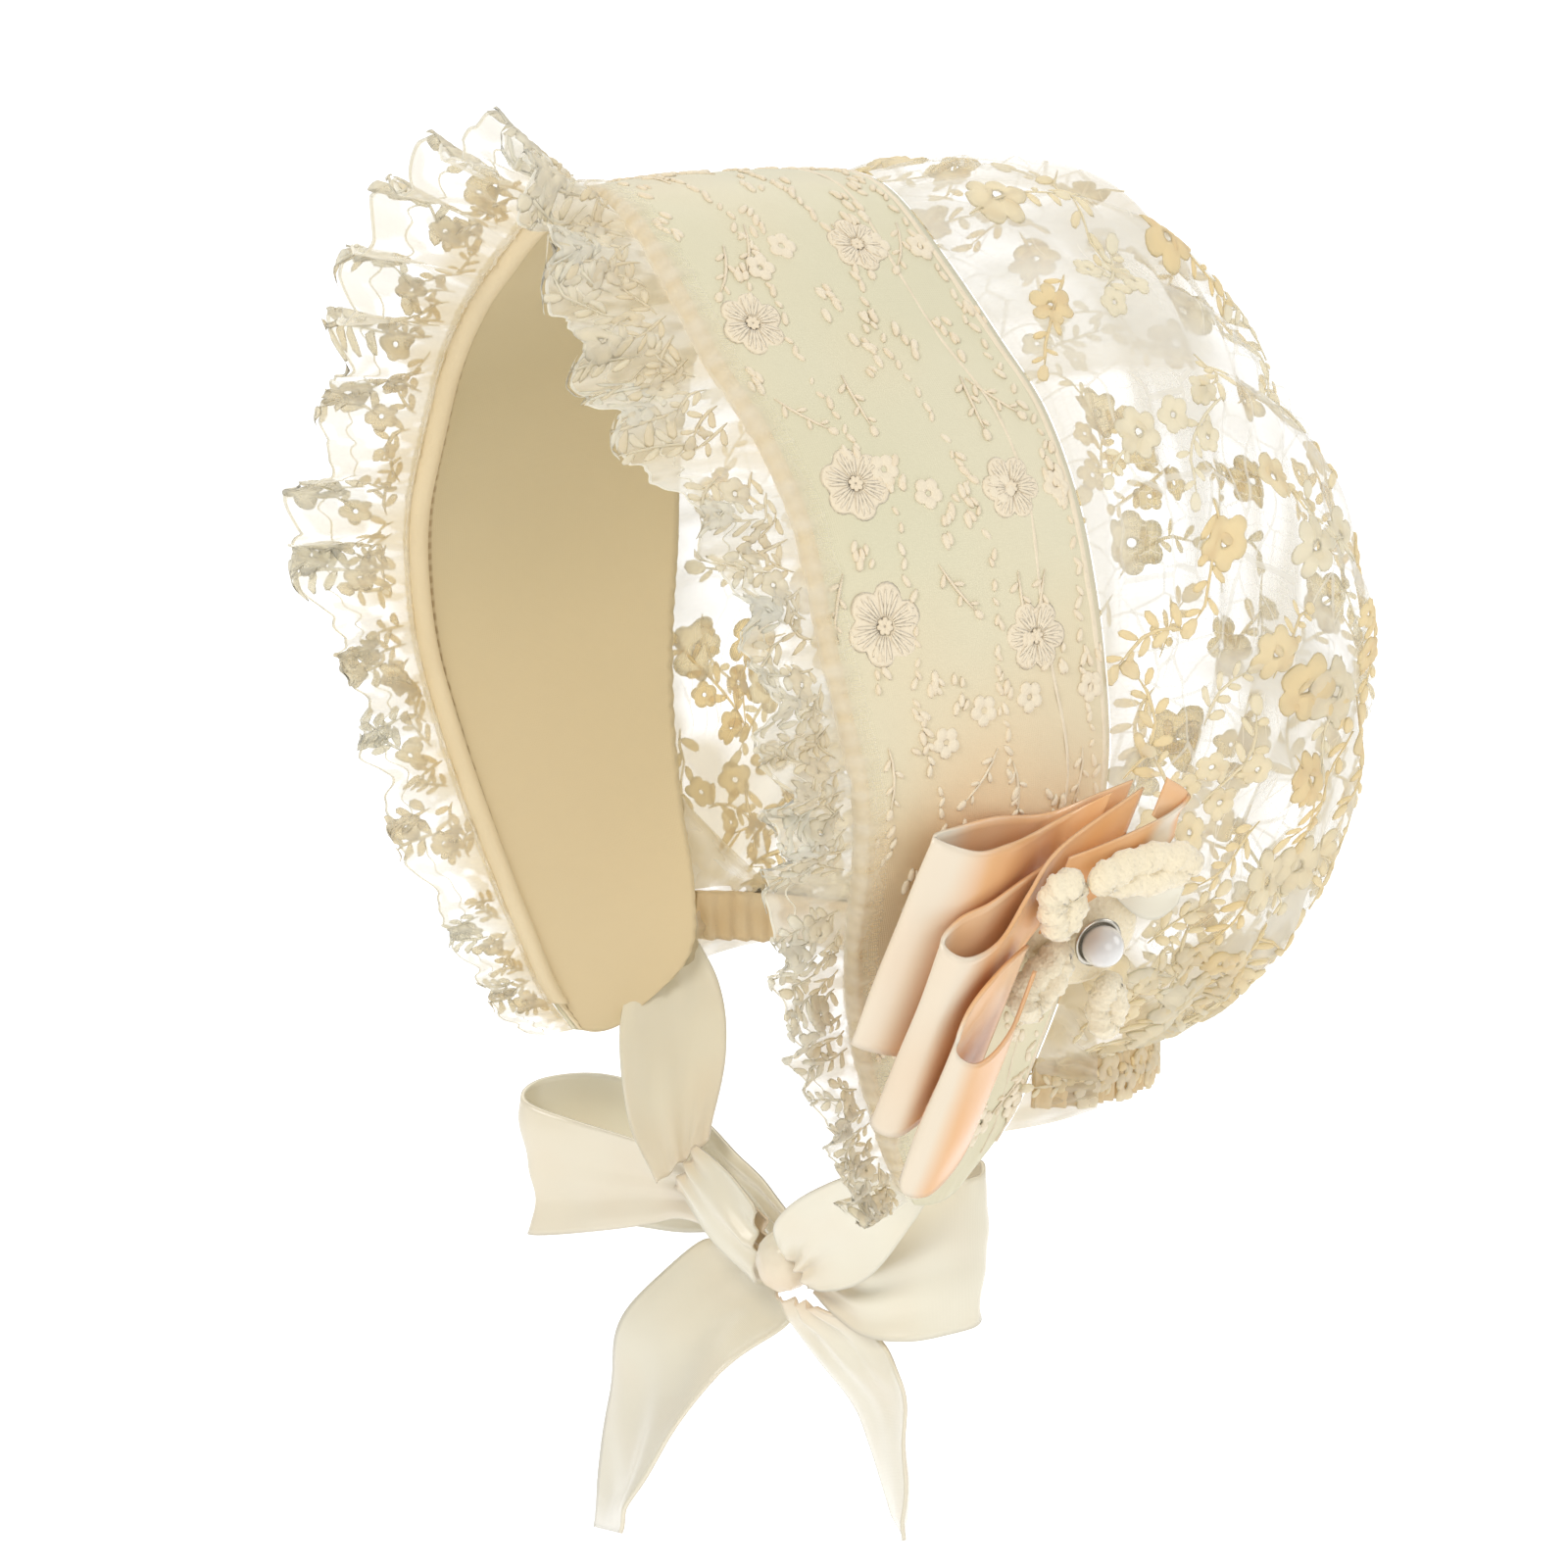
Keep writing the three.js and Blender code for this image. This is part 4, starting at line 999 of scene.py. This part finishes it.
for row, width, sway in ((0.975, 1.0, 0.004), (0.8, 0.6, 0.02)):
    line = np.stack([along, row + sway * np.sin(along * 23 + row * 40)], -1)
    rise = 0.42 * width**0.5 * (0.75 + 0.25 * np.sin(along * 200))
    vines.cord(line, width / 2 / BAND_DEPTH, rise, 0.75)
band_vines = vines.make("raised_vines", RAISED, low_b=0.03, high_b=0.985)

# Tulle back
a, b = grid(460, 210)
smooth_back = crown_point(a, b)
streak = ripple(a * 60, b * 7, 6.0)
patch = ripple(a * 9, b * 7, 8.0)
haze = np.clip(0.46 + 0.8 * patch + 0.55 * streak, 0, 1) ** 1.2
haze = np.maximum(haze, smoothstep(0.06, 0.0, b) * 0.8)
low = np.maximum(smoothstep(0.72, 1.0, np.abs(a)), smoothstep(0.8, 1.0, b) * np.abs(a))
haze = np.clip(np.maximum(haze, smoothstep(0.95, 1.0, b) * 0.9) + 0.75 * low, 0, 1)
tulle = cloth_sheet(
    "tulle_back", smooth_back, BACK_NET, ["back_crown"],
    {"haze": haze, "shade": np.clip(0.1 + 0.6 * ripple(a * 7, b * 5, 12.0) + 0.9 * low, 0, 1)},
    (a * 75 * MM, b * 190 * MM),
)

back_lace = Pieces(crown_point, crown_smooth)
LACE_ROWS = 13
for row in range(LACE_ROWS):
    for k in range(LACE_ROWS):
        side = spaced(k + 0.5 + 0.5 * (row % 2), LACE_ROWS + 0.5, 0.97) + rng.uniform(-0.03, 0.03)
        place = np.clip((row + 0.5) / LACE_ROWS + rng.uniform(-0.025, 0.025), 0.03, 0.97)
        if abs(side) > 0.985:
            continue
        kind = rng.uniform()
        angle = rng.uniform(0, WAVE)
        tone = rng.uniform(0.1, 0.9)
        if kind < 0.36:
            radius = rng.uniform(3.8, 5.8)
            petals = int(rng.integers(5, 7))
            back_lace.flower(side, place, radius, petals, angle, 0.4, tone=tone, deep=0.42)
        elif kind < 0.6:
            for m in range(3):
                turn = angle + m * 2.1
                radius = rng.uniform(2.2, 3.2)
                centre = (4.2 * math.cos(turn), 4.2 * math.sin(turn))
                back_lace.flower(side, place, radius, 5, turn, 0.45, tone=tone, centre=centre)
        length = rng.uniform(12, 20)
        leaf = rng.uniform(3.2, 4.4)
        bend = rng.uniform(-1.6, 1.6)
        back_lace.spray(side, place, angle + 0.4, length, 7, leaf, 0.4, bend, tone)
back_flowers = back_lace.make("back_flowers", LACE, low_b=0.0, high_b=1.0)

# Nape casing, gathered
side_grid, level_grid = grid(360, 8)
angle = side_grid * math.pi / 2
gather = np.sin(side_grid * 150 + 2 * np.sin(side_grid * 9)) * (0.4 + level_grid)
bulge = 0.35 * np.sin(math.pi * level_grid) + 0.35 * gather
casing_outer, casing_inner = (
    nape_point(angle, out + bulge, level_grid * NAPE_BAND_HEIGHT) for out in (0.5, -0.5)
)
nape = cloth_wall(
    "nape_casing", casing_outer, casing_inner, CASING, ["nape_band"],
    {"tone": np.clip(0.3 + 0.5 * ripple(side_grid * 30, level_grid * 4, 9.0), 0, 1)},
    (side_grid * 70 * MM, level_grid * NAPE_BAND_HEIGHT * MM),
)


def nape_surface(a, b, out=0.0):
    a, b, out = arrays(a, b, out)
    return nape_point(a * math.pi / 2, 0.9 + out, b * NAPE_BAND_HEIGHT)


NAPE_SPRAYS = 26
nape_lace = Pieces(nape_surface)
for k in range(NAPE_SPRAYS):
    place = spaced(k + 0.5, NAPE_SPRAYS, 0.96)
    radius = rng.uniform(2.6, 3.6)
    angle = rng.uniform(0, 6)
    tone = rng.uniform(0, 0.7)
    nape_lace.flower(place, 0.35 if k % 2 else 0.75, radius, 5, angle, 0.5, 0.0, tone)
    turn = rng.uniform(-0.3, 0.3)
    nape_lace.spray(place, 0.5, turn, 8, 4, 2.8, 0.4, 0.0, rng.uniform(0, 0.7))
nape_flowers = nape_lace.make("nape_flowers", LACE, low_b=0.02, high_b=1.04)

# Gathered net that joins the casing to the band's rear edge on each side
EDGE_ROWS = len(BAND_ROWS) - 1
down_grid, back_grid = grid(40, 20, 0, 1)
bow = (1.2 + 0.4 * np.sin(down_grid * 50)) * np.sin(math.pi * back_grid)
gusset_values = {
    "haze": np.clip(0.85 + 0.4 * ripple(down_grid * 14, back_grid * 6, 3.0), 0, 1),
    "shade": np.clip(0.7 + 0.5 * ripple(down_grid * 9, back_grid * 4, 8.0), 0, 1),
}
gusset_flat = (down_grid * 22 * MM, back_grid * 11 * MM)
for sign, label in ((1, "left"), (-1, "right")):
    edge_place = 0.5 + sign * (10.9 + 2.3 * down_grid) / EDGE_ROWS / 2
    from_edge = catmull(REAR_EDGE, edge_place) + vec(0, 0.4, 0)
    to_casing = nape_point(sign * math.radians(74) + 0 * down_grid, 1.3, 10.5 * down_grid - 2.0)
    face = from_edge + (to_casing - from_edge) * back_grid[..., None] + vec(sign, 0, 0) * bow[..., None]
    cloth_sheet(
        f"net_gusset_{label}", face, BACK_NET, (), gusset_values, gusset_flat,
    )

# Ruffle
share_grid, reach_grid = grid(1400, 30, 0, 1)
frill_face = ruffle_point(share_grid, reach_grid)
fold = np.cos(ruffle_phase(share_grid) + 0.6 * reach_grid)
near_side = smoothstep(-0.12, 0.12, 2 * share_grid - 1)
cloud = 0.6 * ripple(share_grid * 230, reach_grid * 5, 2.5)
cloud = cloud + 0.4 * ripple(share_grid * 520, reach_grid * 10, 4.5)
far_haze = 0.2 + 0.6 * smoothstep(-0.25, 0.08, cloud) + 0.6 * smoothstep(0.55, 0.1, reach_grid)
near_haze = 0.5 + 0.4 * smoothstep(-0.35, 0.1, cloud)
frill_haze = np.clip(far_haze + (near_haze - far_haze) * near_side, 0, 1)
frill_haze = np.maximum(frill_haze, smoothstep(0.97, 1.0, reach_grid) * 0.8)
frill_shade = np.clip(smoothstep(0.75, 0.05, reach_grid) * (0.9 - 0.65 * near_side) - 0.3 * fold, 0, 1)
frill = cloth_sheet(
    "lace_frill", frill_face, FRILL_NET, ["face_ruffle"],
    {"haze": frill_haze, "shade": frill_shade}, (share_grid * 620 * MM, reach_grid * 20 * MM),
)

share_grid, reach_grid = grid(1800, 14, 0.01, 0.99)
heading_haze = 0.85 - smoothstep(0.5, 1, reach_grid) + 0.5 * ripple(share_grid * 300, reach_grid, 3)
heading = cloth_sheet(
    "frill_heading", heading_point(share_grid, reach_grid), FRILL_NET, (),
    {
        "haze": np.clip(heading_haze, 0, 1),
        "shade": 0.12 + 0.12 * ripple(share_grid * 200, reach_grid, 8),
    },
    (share_grid * 620 * MM, reach_grid * 6 * MM),
)

frill_lace = Pieces(ruffle_point)
along = np.linspace(0, 1, 2000)
crest = np.interp(np.arange(1, RUFFLE_FOLDS + 1) * WAVE, ruffle_phase(along), along)
for middle in crest:
    wide = float(np.interp(2 * middle - 1, RUFFLE_LEANS[:, 0], RUFFLE_LEANS[:, 2]))
    small = min(1.0, wide + 0.25)
    far = middle < 0.5
    for m in range(4):
        place = middle + (m - 1.5) * 0.0085
        if not 0.004 < place < 0.996:
            continue
        tone = rng.uniform(0.3, 1.0)
        turn = math.radians(90) + rng.uniform(-0.5, 0.5)
        if m in (1, 2) or not far:
            bend = rng.uniform(-0.8, 0.8)
            frill_lace.spray(place, 0.62, turn, 12 * wide, 6, 4.0 * small, 0.4, bend, tone)
        if m == 1:
            radius = (3.9 if far else 3.0) * small
            frill_lace.flower(place + 0.004, 0.84, radius, 5, rng.uniform(0, 6), 0.4, tone=tone)
            angle = rng.uniform(0, 6)
            # Lower tone, darker gold, nearer the root: painted shade toward the seam
            frill_lace.flower(place - 0.004, 0.45, 2.8 * small, 5, angle, 0.4, tone=tone * 0.6)
        turn = turn + rng.uniform(-1, 1)
        bend = rng.uniform(-1, 1)
        # Lower tone, darker gold, nearer the root: painted shade toward the seam
        frill_lace.spray(place, 0.24, turn, 7 * wide, 4, 3.2 * small, 0.35, bend, tone * 0.5)
along = np.linspace(0.003, 0.997, 1100)
for level, width in ((1.0, 0.6), (0.72, 0.35)):
    line = np.stack([along, level + 0.03 * np.sin(along * 900) * (level < 1)], -1)
    frill_lace.cord(line, width / 2 / RUFFLE_WIDTH, width * 0.7 + 0 * along, 0.8)
frill_flowers = frill_lace.make("frill_flowers", FRILL, low_b=0.03, high_b=1.05)


# Ribbons
RIBBON_HALF = 0.2


def strip(
    name, middles, halves, material, cad_node, steps,
    lanes=24, waves=0.25, painted_shade=np.zeros_like, seed=1.0, inside=0.0, gathers=(0.0, 0.0),
):
    """A satin ribbon along rows of middles and half widths. Returns it, its area and its length.

    The shade function and inside paint warm shade along its length and on its inner face, and gathers
    are the heights of the small pleats at its two ends.
    """
    t = np.linspace(0, 1, steps + 1)
    s = np.linspace(-1, 1, lanes + 1)
    mid = catmull(middles, t)
    half = catmull(halves, t)
    run = catmull(middles, t + 0.01) - catmull(middles, t - 0.01)
    normal = unit(np.cross(run, half))[:, None]
    face = mid[:, None] + half[:, None] * s[None, :, None]
    length = np.concatenate([[0], np.cumsum(np.linalg.norm(np.diff(mid, axis=0), axis=-1))])
    across, along = np.meshgrid(s, length)
    lift = waves * ripple(along * 0.16, across * 2.6, seed)
    lift = lift + 1.2 * waves * np.sin(2.6 * across + along * 0.05 + seed)
    lift = lift * (smoothstep(0, 0.1, t) * smoothstep(0, 0.1, 1 - t))[:, None]
    tied = gathers[0] * np.exp(-((t / 0.3) ** 2)) + gathers[1] * np.exp(-(((1 - t) / 0.3) ** 2))
    lift = lift + tied[:, None] * np.sin(7.5 * s + seed + 1.2 * np.sin(3 * s)) * (1 - np.abs(s) ** 6)
    middle = face + normal * lift[..., None]
    thick = normal * (RIBBON_HALF + 0.14 * smoothstep(0.93, 0.97, np.abs(s)))[:, None]
    # Painted shade along the ribbon, with a little random tone; more of it on the inner face
    painted_warm_shade = np.clip(painted_shade(t)[:, None] + 0.12 * ripple(along * 0.2, across * 2, seed + 3), 0, 1)
    half_width = np.linalg.norm(half, axis=-1).max()
    obj = cloth_wall(
        name, middle + thick, middle - thick, material, [cad_node],
        {"painted_shade": (painted_warm_shade, np.clip(painted_warm_shade + inside, 0, 1))}, (across * half_width * MM, along * MM),
    )
    cells = np.cross(np.diff(face, axis=0)[:, :-1], np.diff(face, axis=1)[:-1])
    return obj, np.linalg.norm(cells, axis=-1).sum() * MM * MM, length[-1] * MM


ROOT = from_crown(0.959 * TEMPLE_WIDTH / 2, 0.794 * BAND_DEPTH, -0.562 * BAND_HEIGHT)
DOWN = unit(vec(-0.172, -0.305, -0.937))
OUT = unit(vec(0.984, -0.101, -0.148))
FORWARD = unit(np.cross(DOWN, OUT))


def ornament_point(forward, out, down):
    return ROOT + FORWARD * forward + OUT * (out + ORNAMENT_CLEARANCE) + DOWN * down


for name, rows in PLEATS.items():
    middles = [
        ornament_point(f * PLEAT_REACH, o * PLEAT_LIFT, (d + w / 2) * PLEAT_RIBBON_WIDTH)
        for f, o, d, w in rows
    ]
    halves = [DOWN * (w * PLEAT_RIBBON_WIDTH / 2) for f, o, d, w in rows]
    # Painted warm shade: deeper orange away from each fold's front toward the ribbon's ends, and more on
    # the inner face
    made = strip(
        "folded_" + name, middles, halves, PLEAT_SATIN, name,
        14 * (len(rows) - 1), waves=0.2, seed=len(rows) * 1.3,
        painted_shade=lambda t: 0.75 * smoothstep(0.04, 0.17, np.abs(t - 0.5)), inside=0.15,
    )

KNOT = from_crown(0.05 * TEMPLE_WIDTH / 2, 0.632 * BAND_DEPTH, -0.99 * BAND_HEIGHT - TIE_DROP)


def span_half(row):
    return vec(*row[3:]) * TIE_RIBBON_WIDTH / 2


for table, reach in ((BOW_ROWS, BOW_REACH), (TAIL_ROWS, TAIL_DROP)):
    for name, rows in table.items():
        middles = [vec(*row[:3]) * reach + KNOT for row in rows]
        # Painted shade near the knot, and more on the inner face
        made = strip(
            "ribbon_" + name, middles, [span_half(row) for row in rows], SATIN, name,
            12 * (len(rows) - 1), waves=0.7, seed=len(name) * 0.9,
            painted_shade=lambda t: 0.5 * np.exp(-t * 9), inside=0.15,
            gathers=(0.7, 0.0 if "tail" in name else 0.6),
        )

# The ties run from inside each cheek to the bow
left_start = band_point(vec(0.955), vec(0.42), vec(-BAND_STACK - 2.0))[0]
left_end = KNOT + vec(KNOT_SIZES[0] + 2 * GAP + 0.5, 0, GAP)
right_start = catmull(REAR_EDGE, vec(0.25 / EDGE_ROWS))[0] + vec(-2.0, GAP, 4.0)
right_end = vec(*BOW_ROWS["bow_wrap"][0][:3]) * BOW_REACH + KNOT + vec(-GAP - 1.0, GAP, GAP)
for name, start, end in (("tie_left", left_start, left_end), ("tie_right", right_start, right_end)):
    rows = TIE_ROWS[name]
    middles = [start + (end - start) * row[0] + vec(0, row[1], -row[2]) * TIE_RIBBON_WIDTH for row in rows]
    # Painted shade toward the bow end
    made = strip(
        "ribbon_" + name, middles, [span_half(row) for row in rows], SATIN, name,
        20 * (len(rows) - 1), waves=0.6, seed=len(name) * 1.1,
        painted_shade=lambda t: 0.35 * np.exp(-(1 - t) * 6), gathers=(0.3, 0.6),
    )


def ball(name, place, sizes, material, nodes, bumps=0.0, rings=24, sides=40):
    theta = np.linspace(0, math.pi, rings + 1)[1:-1]
    phi = np.arange(sides) * WAVE / sides
    tt, pp = np.meshgrid(theta, phi, indexing="ij")
    around = np.stack([np.sin(tt) * np.cos(pp), np.sin(tt) * np.sin(pp), np.cos(tt)], -1)
    points = np.vstack([around.reshape(-1, 3), [[0, 0, 1], [0, 0, -1]]])
    grow = 1 + bumps * ripple(points[:, 0] * 7, points[:, 1] * 7 + points[:, 2] * 5, 4.0)
    points = points * grow[:, None] * sizes
    # Painted shade, darker on the underside; the satin knot shows it
    values = {"painted_shade": np.clip(0.35 - 0.3 * unit(points)[:, 2], 0, 1)}
    faces = closed_faces(rings - 1, sides, flip=True)
    return build(name, points + place, faces, material, nodes, values)


ball("ribbon_knot", KNOT, vec(*KNOT_SIZES), SATIN, ["bow_knot"], bumps=0.05)


# Cloth flower
def ornament_basis(turn, tip):
    angle, lift = math.radians(turn), math.radians(tip)
    flat = FORWARD * math.cos(angle) - DOWN * math.sin(angle)
    along = flat * math.cos(lift) + OUT * math.sin(lift)
    side = unit(np.cross(OUT, flat))
    up = unit(np.cross(along, side))
    return np.stack([along, side, up], 1)


def yarn(name, path, radius, material, nodes, seed, sides=16):
    """A thick knobbly yarn along a closed path."""
    run = unit(np.roll(path, -1, axis=0) - np.roll(path, 1, axis=0))
    first = unit(np.cross(run, OUT))
    second = np.cross(run, first)
    phi = np.arange(sides) * WAVE / sides
    k = np.arange(len(path))[:, None]
    knob = 1 + 0.1 * np.sin(k * 0.9 + 2 * np.cos(phi) + seed) + 0.07 * np.sin(k * 2.3 + 3 * phi + seed)
    ring = first[:, None] * np.cos(phi)[:, None] + second[:, None] * np.sin(phi)[:, None]
    points = (path[:, None] + ring * (knob * radius)[..., None]).reshape(-1, 3)
    return build(name, points, ring_faces(len(path), sides, loop=True), material, nodes)


for k, (f, o, d, turn, tip, length, width) in enumerate(PETALS):
    basis = ornament_basis(turn, tip)
    middle = ornament_point(f * PETAL_LENGTH, o * PETAL_LENGTH, d * PETAL_LENGTH)
    long, wide = length * PETAL_LENGTH * 0.54, width * PETAL_WIDTH * 0.56
    radius = wide * 0.56
    t = np.arange(64) * WAVE / 64
    side = (wide - radius) * np.sin(t) * (0.85 + 0.15 * np.cos(t))
    local = np.stack([(long - radius) * np.cos(t), side, 0.3 * np.sin(3 * t + k)], -1)
    petal = yarn(
        f"chenille_petal_{k + 1}", local @ basis.T + middle, radius,
        CHENILLE, [f"flower_petal_{k + 1}"], k * 1.7,
    )

CENTRE_FORWARD = -1.13 * PETAL_LENGTH
CENTRE_DOWN = 1.36 * PETAL_LENGTH
PEARL_OUT = 0.5 * PETAL_LENGTH
pearl_place = ornament_point(CENTRE_FORWARD, PEARL_OUT, CENTRE_DOWN)
ball("pearl_bead", pearl_place, PEARL_RADIUS, PEARL, ["pearl"])


def turned(name, profile, basis, place, material, nodes, sides=48):
    """A turned piece: profile rows are (radius, height) from its axis round and back to it."""
    profile = np.asarray(profile, float)
    phi = np.arange(sides) * WAVE / sides
    points = [np.stack([r * np.cos(phi), r * np.sin(phi), h + 0 * phi], -1) for r, h in profile[1:-1]]
    faces = closed_faces(len(points), sides)
    points = np.vstack(points + [[[0, 0, profile[0][1]]], [[0, 0, profile[-1][1]]]])
    return build(name, points @ basis.T + place, faces, material, nodes)


cup_turns = [math.radians(70) * k / 12 for k in range(13)]
cup_profile = [(CUP_RADIUS * math.sin(turn), -CUP_RADIUS * math.cos(turn)) for turn in cup_turns]
cup_profile += [
    ((CUP_RADIUS - CUP_WALL) * math.sin(turn), (CUP_WALL - CUP_RADIUS) * math.cos(turn))
    for turn in cup_turns[::-1]
]
turned("pearl_seat", cup_profile, ornament_basis(0, 0), pearl_place, CUP, ["pearl_cup"])

pad_out = PEARL_OUT - CUP_SEAT - PAD_HALF - 2 * GAP
pad_place = ornament_point(CENTRE_FORWARD, pad_out, CENTRE_DOWN)
pad_profile = [
    (0, PAD_HALF),
    (PAD_RADIUS - 0.9, PAD_HALF),
    (PAD_RADIUS - 0.2, 0.9),
    (PAD_RADIUS, 0.2),
    (PAD_RADIUS, -0.9),
    (PAD_RADIUS - 0.4, -PAD_HALF),
    (0, -PAD_HALF),
]
pad = turned("felt_pad", pad_profile, ornament_basis(0, 0), pad_place, CHENILLE, ["flower_pad"])

# Satin leaf: along, out, width
LEAF_HALF_WIDTH = 4.0
leaf_rows = [(0.0, 0.0, 0.35), (0.35, 0.06, 0.9), (0.7, 0.02, 1.0), (1.0, -0.08, 0.3)]
leaf_root = ornament_point(-1.25 * PETAL_LENGTH, 0.17 * PETAL_LENGTH, 0.72 * PETAL_LENGTH)
made = strip(
    "satin_petal",
    [leaf_root + (OUT * out - FORWARD * along) * PETAL_LENGTH for along, out, w in leaf_rows],
    [DOWN * w * LEAF_HALF_WIDTH for along, out, w in leaf_rows],
    SATIN, "satin_leaf", 24, lanes=10, waves=0.2,
)


# Floor, light and camera, in metres
FLOOR_HALF = 6.0
FLOOR_LEVEL = -0.62
corners = [(x * FLOOR_HALF, y * FLOOR_HALF, FLOOR_LEVEL) for x, y in ((-1, -1), (1, -1), (1, 1), (-1, 1))]
mesh = bpy.data.meshes.new("floor")
mesh.from_pydata(corners, [], [(0, 1, 2, 3)])
floor = bpy.data.objects.new("floor", mesh)
bpy.context.scene.collection.objects.link(floor)
floor_material, tree = shader("floor")
cloudy = noise(tree, coordinates(tree, "Object"), 3.0, 2.0)
plain = two_tone(tree, cloudy, (0.93, 0.93, 0.93), (0.95, 0.95, 0.95))
finish(tree, principled(tree, {
    "Base Color": plain, "Roughness": 1.0, "Specular IOR Level": 0.0,
    "Emission Color": plain, "Emission Strength": 0.35,
}))
mesh.materials.append(floor_material)

world = bpy.data.worlds.new("studio")
bpy.context.scene.world = world
world.use_nodes = True
background = world.node_tree.nodes["Background"]
background.inputs["Color"].default_value = (1.0, 1.0, 1.0, 1.0)
background.inputs["Strength"].default_value = 0.44


def aim(obj, place, target):
    obj.location = Vector(place)
    obj.rotation_euler = (Vector(target) - Vector(place)).to_track_quat("-Z", "Y").to_euler()


def area_light(name, place, target, size, power, tint=(1, 1, 1)):
    data = bpy.data.lights.new(name, "AREA")
    data.shape = "DISK"
    data.size = size
    data.energy = power
    data.color = tint
    lamp = bpy.data.objects.new(name, data)
    bpy.context.scene.collection.objects.link(lamp)
    aim(lamp, place, target)


middle = (0, 0.03, -0.08)
area_light("key", (0.45, -1.1, 0.9), middle, 0.7, 10.2, (1.0, 0.985, 0.96))
area_light("fill", (1.35, -0.1, 0.25), middle, 0.9, 3.4)
area_light("back", (0.7, 1.3, 0.5), middle, 1.0, 5.0)
area_light("floor_light", (-1.35, 0.95, 1.0), (-1.35, 0.95, FLOOR_LEVEL), 2.4, 22.0)

# The camera aims at a point to the right of the crown's front edge, below it and beyond it
AZ, EL = math.radians(55), math.radians(20)
AIM_RIGHT, AIM_BELOW, AIM_BEYOND = 0.02758, 0.090, 0.0517
DISTANCE = 3.0
VIEW_WIDTH = 0.2424
SENSOR_WIDTH = 36
toward = vec(math.cos(EL) * math.sin(AZ), -math.cos(EL) * math.cos(AZ), math.sin(EL))
right = vec(math.cos(AZ), math.sin(AZ), 0)
up = np.cross(toward, right)
centre = from_crown(0, 0, 0) * MM + right * AIM_RIGHT - up * AIM_BELOW - toward * AIM_BEYOND
camera_data = bpy.data.cameras.new("camera")
camera_data.sensor_width = SENSOR_WIDTH
camera_data.lens = SENSOR_WIDTH * DISTANCE / VIEW_WIDTH
camera = bpy.data.objects.new("camera", camera_data)
bpy.context.scene.collection.objects.link(camera)
aim(camera, centre + toward * DISTANCE, centre)
bpy.context.scene.camera = camera
bpy.context.scene.view_settings.view_transform = "Standard"
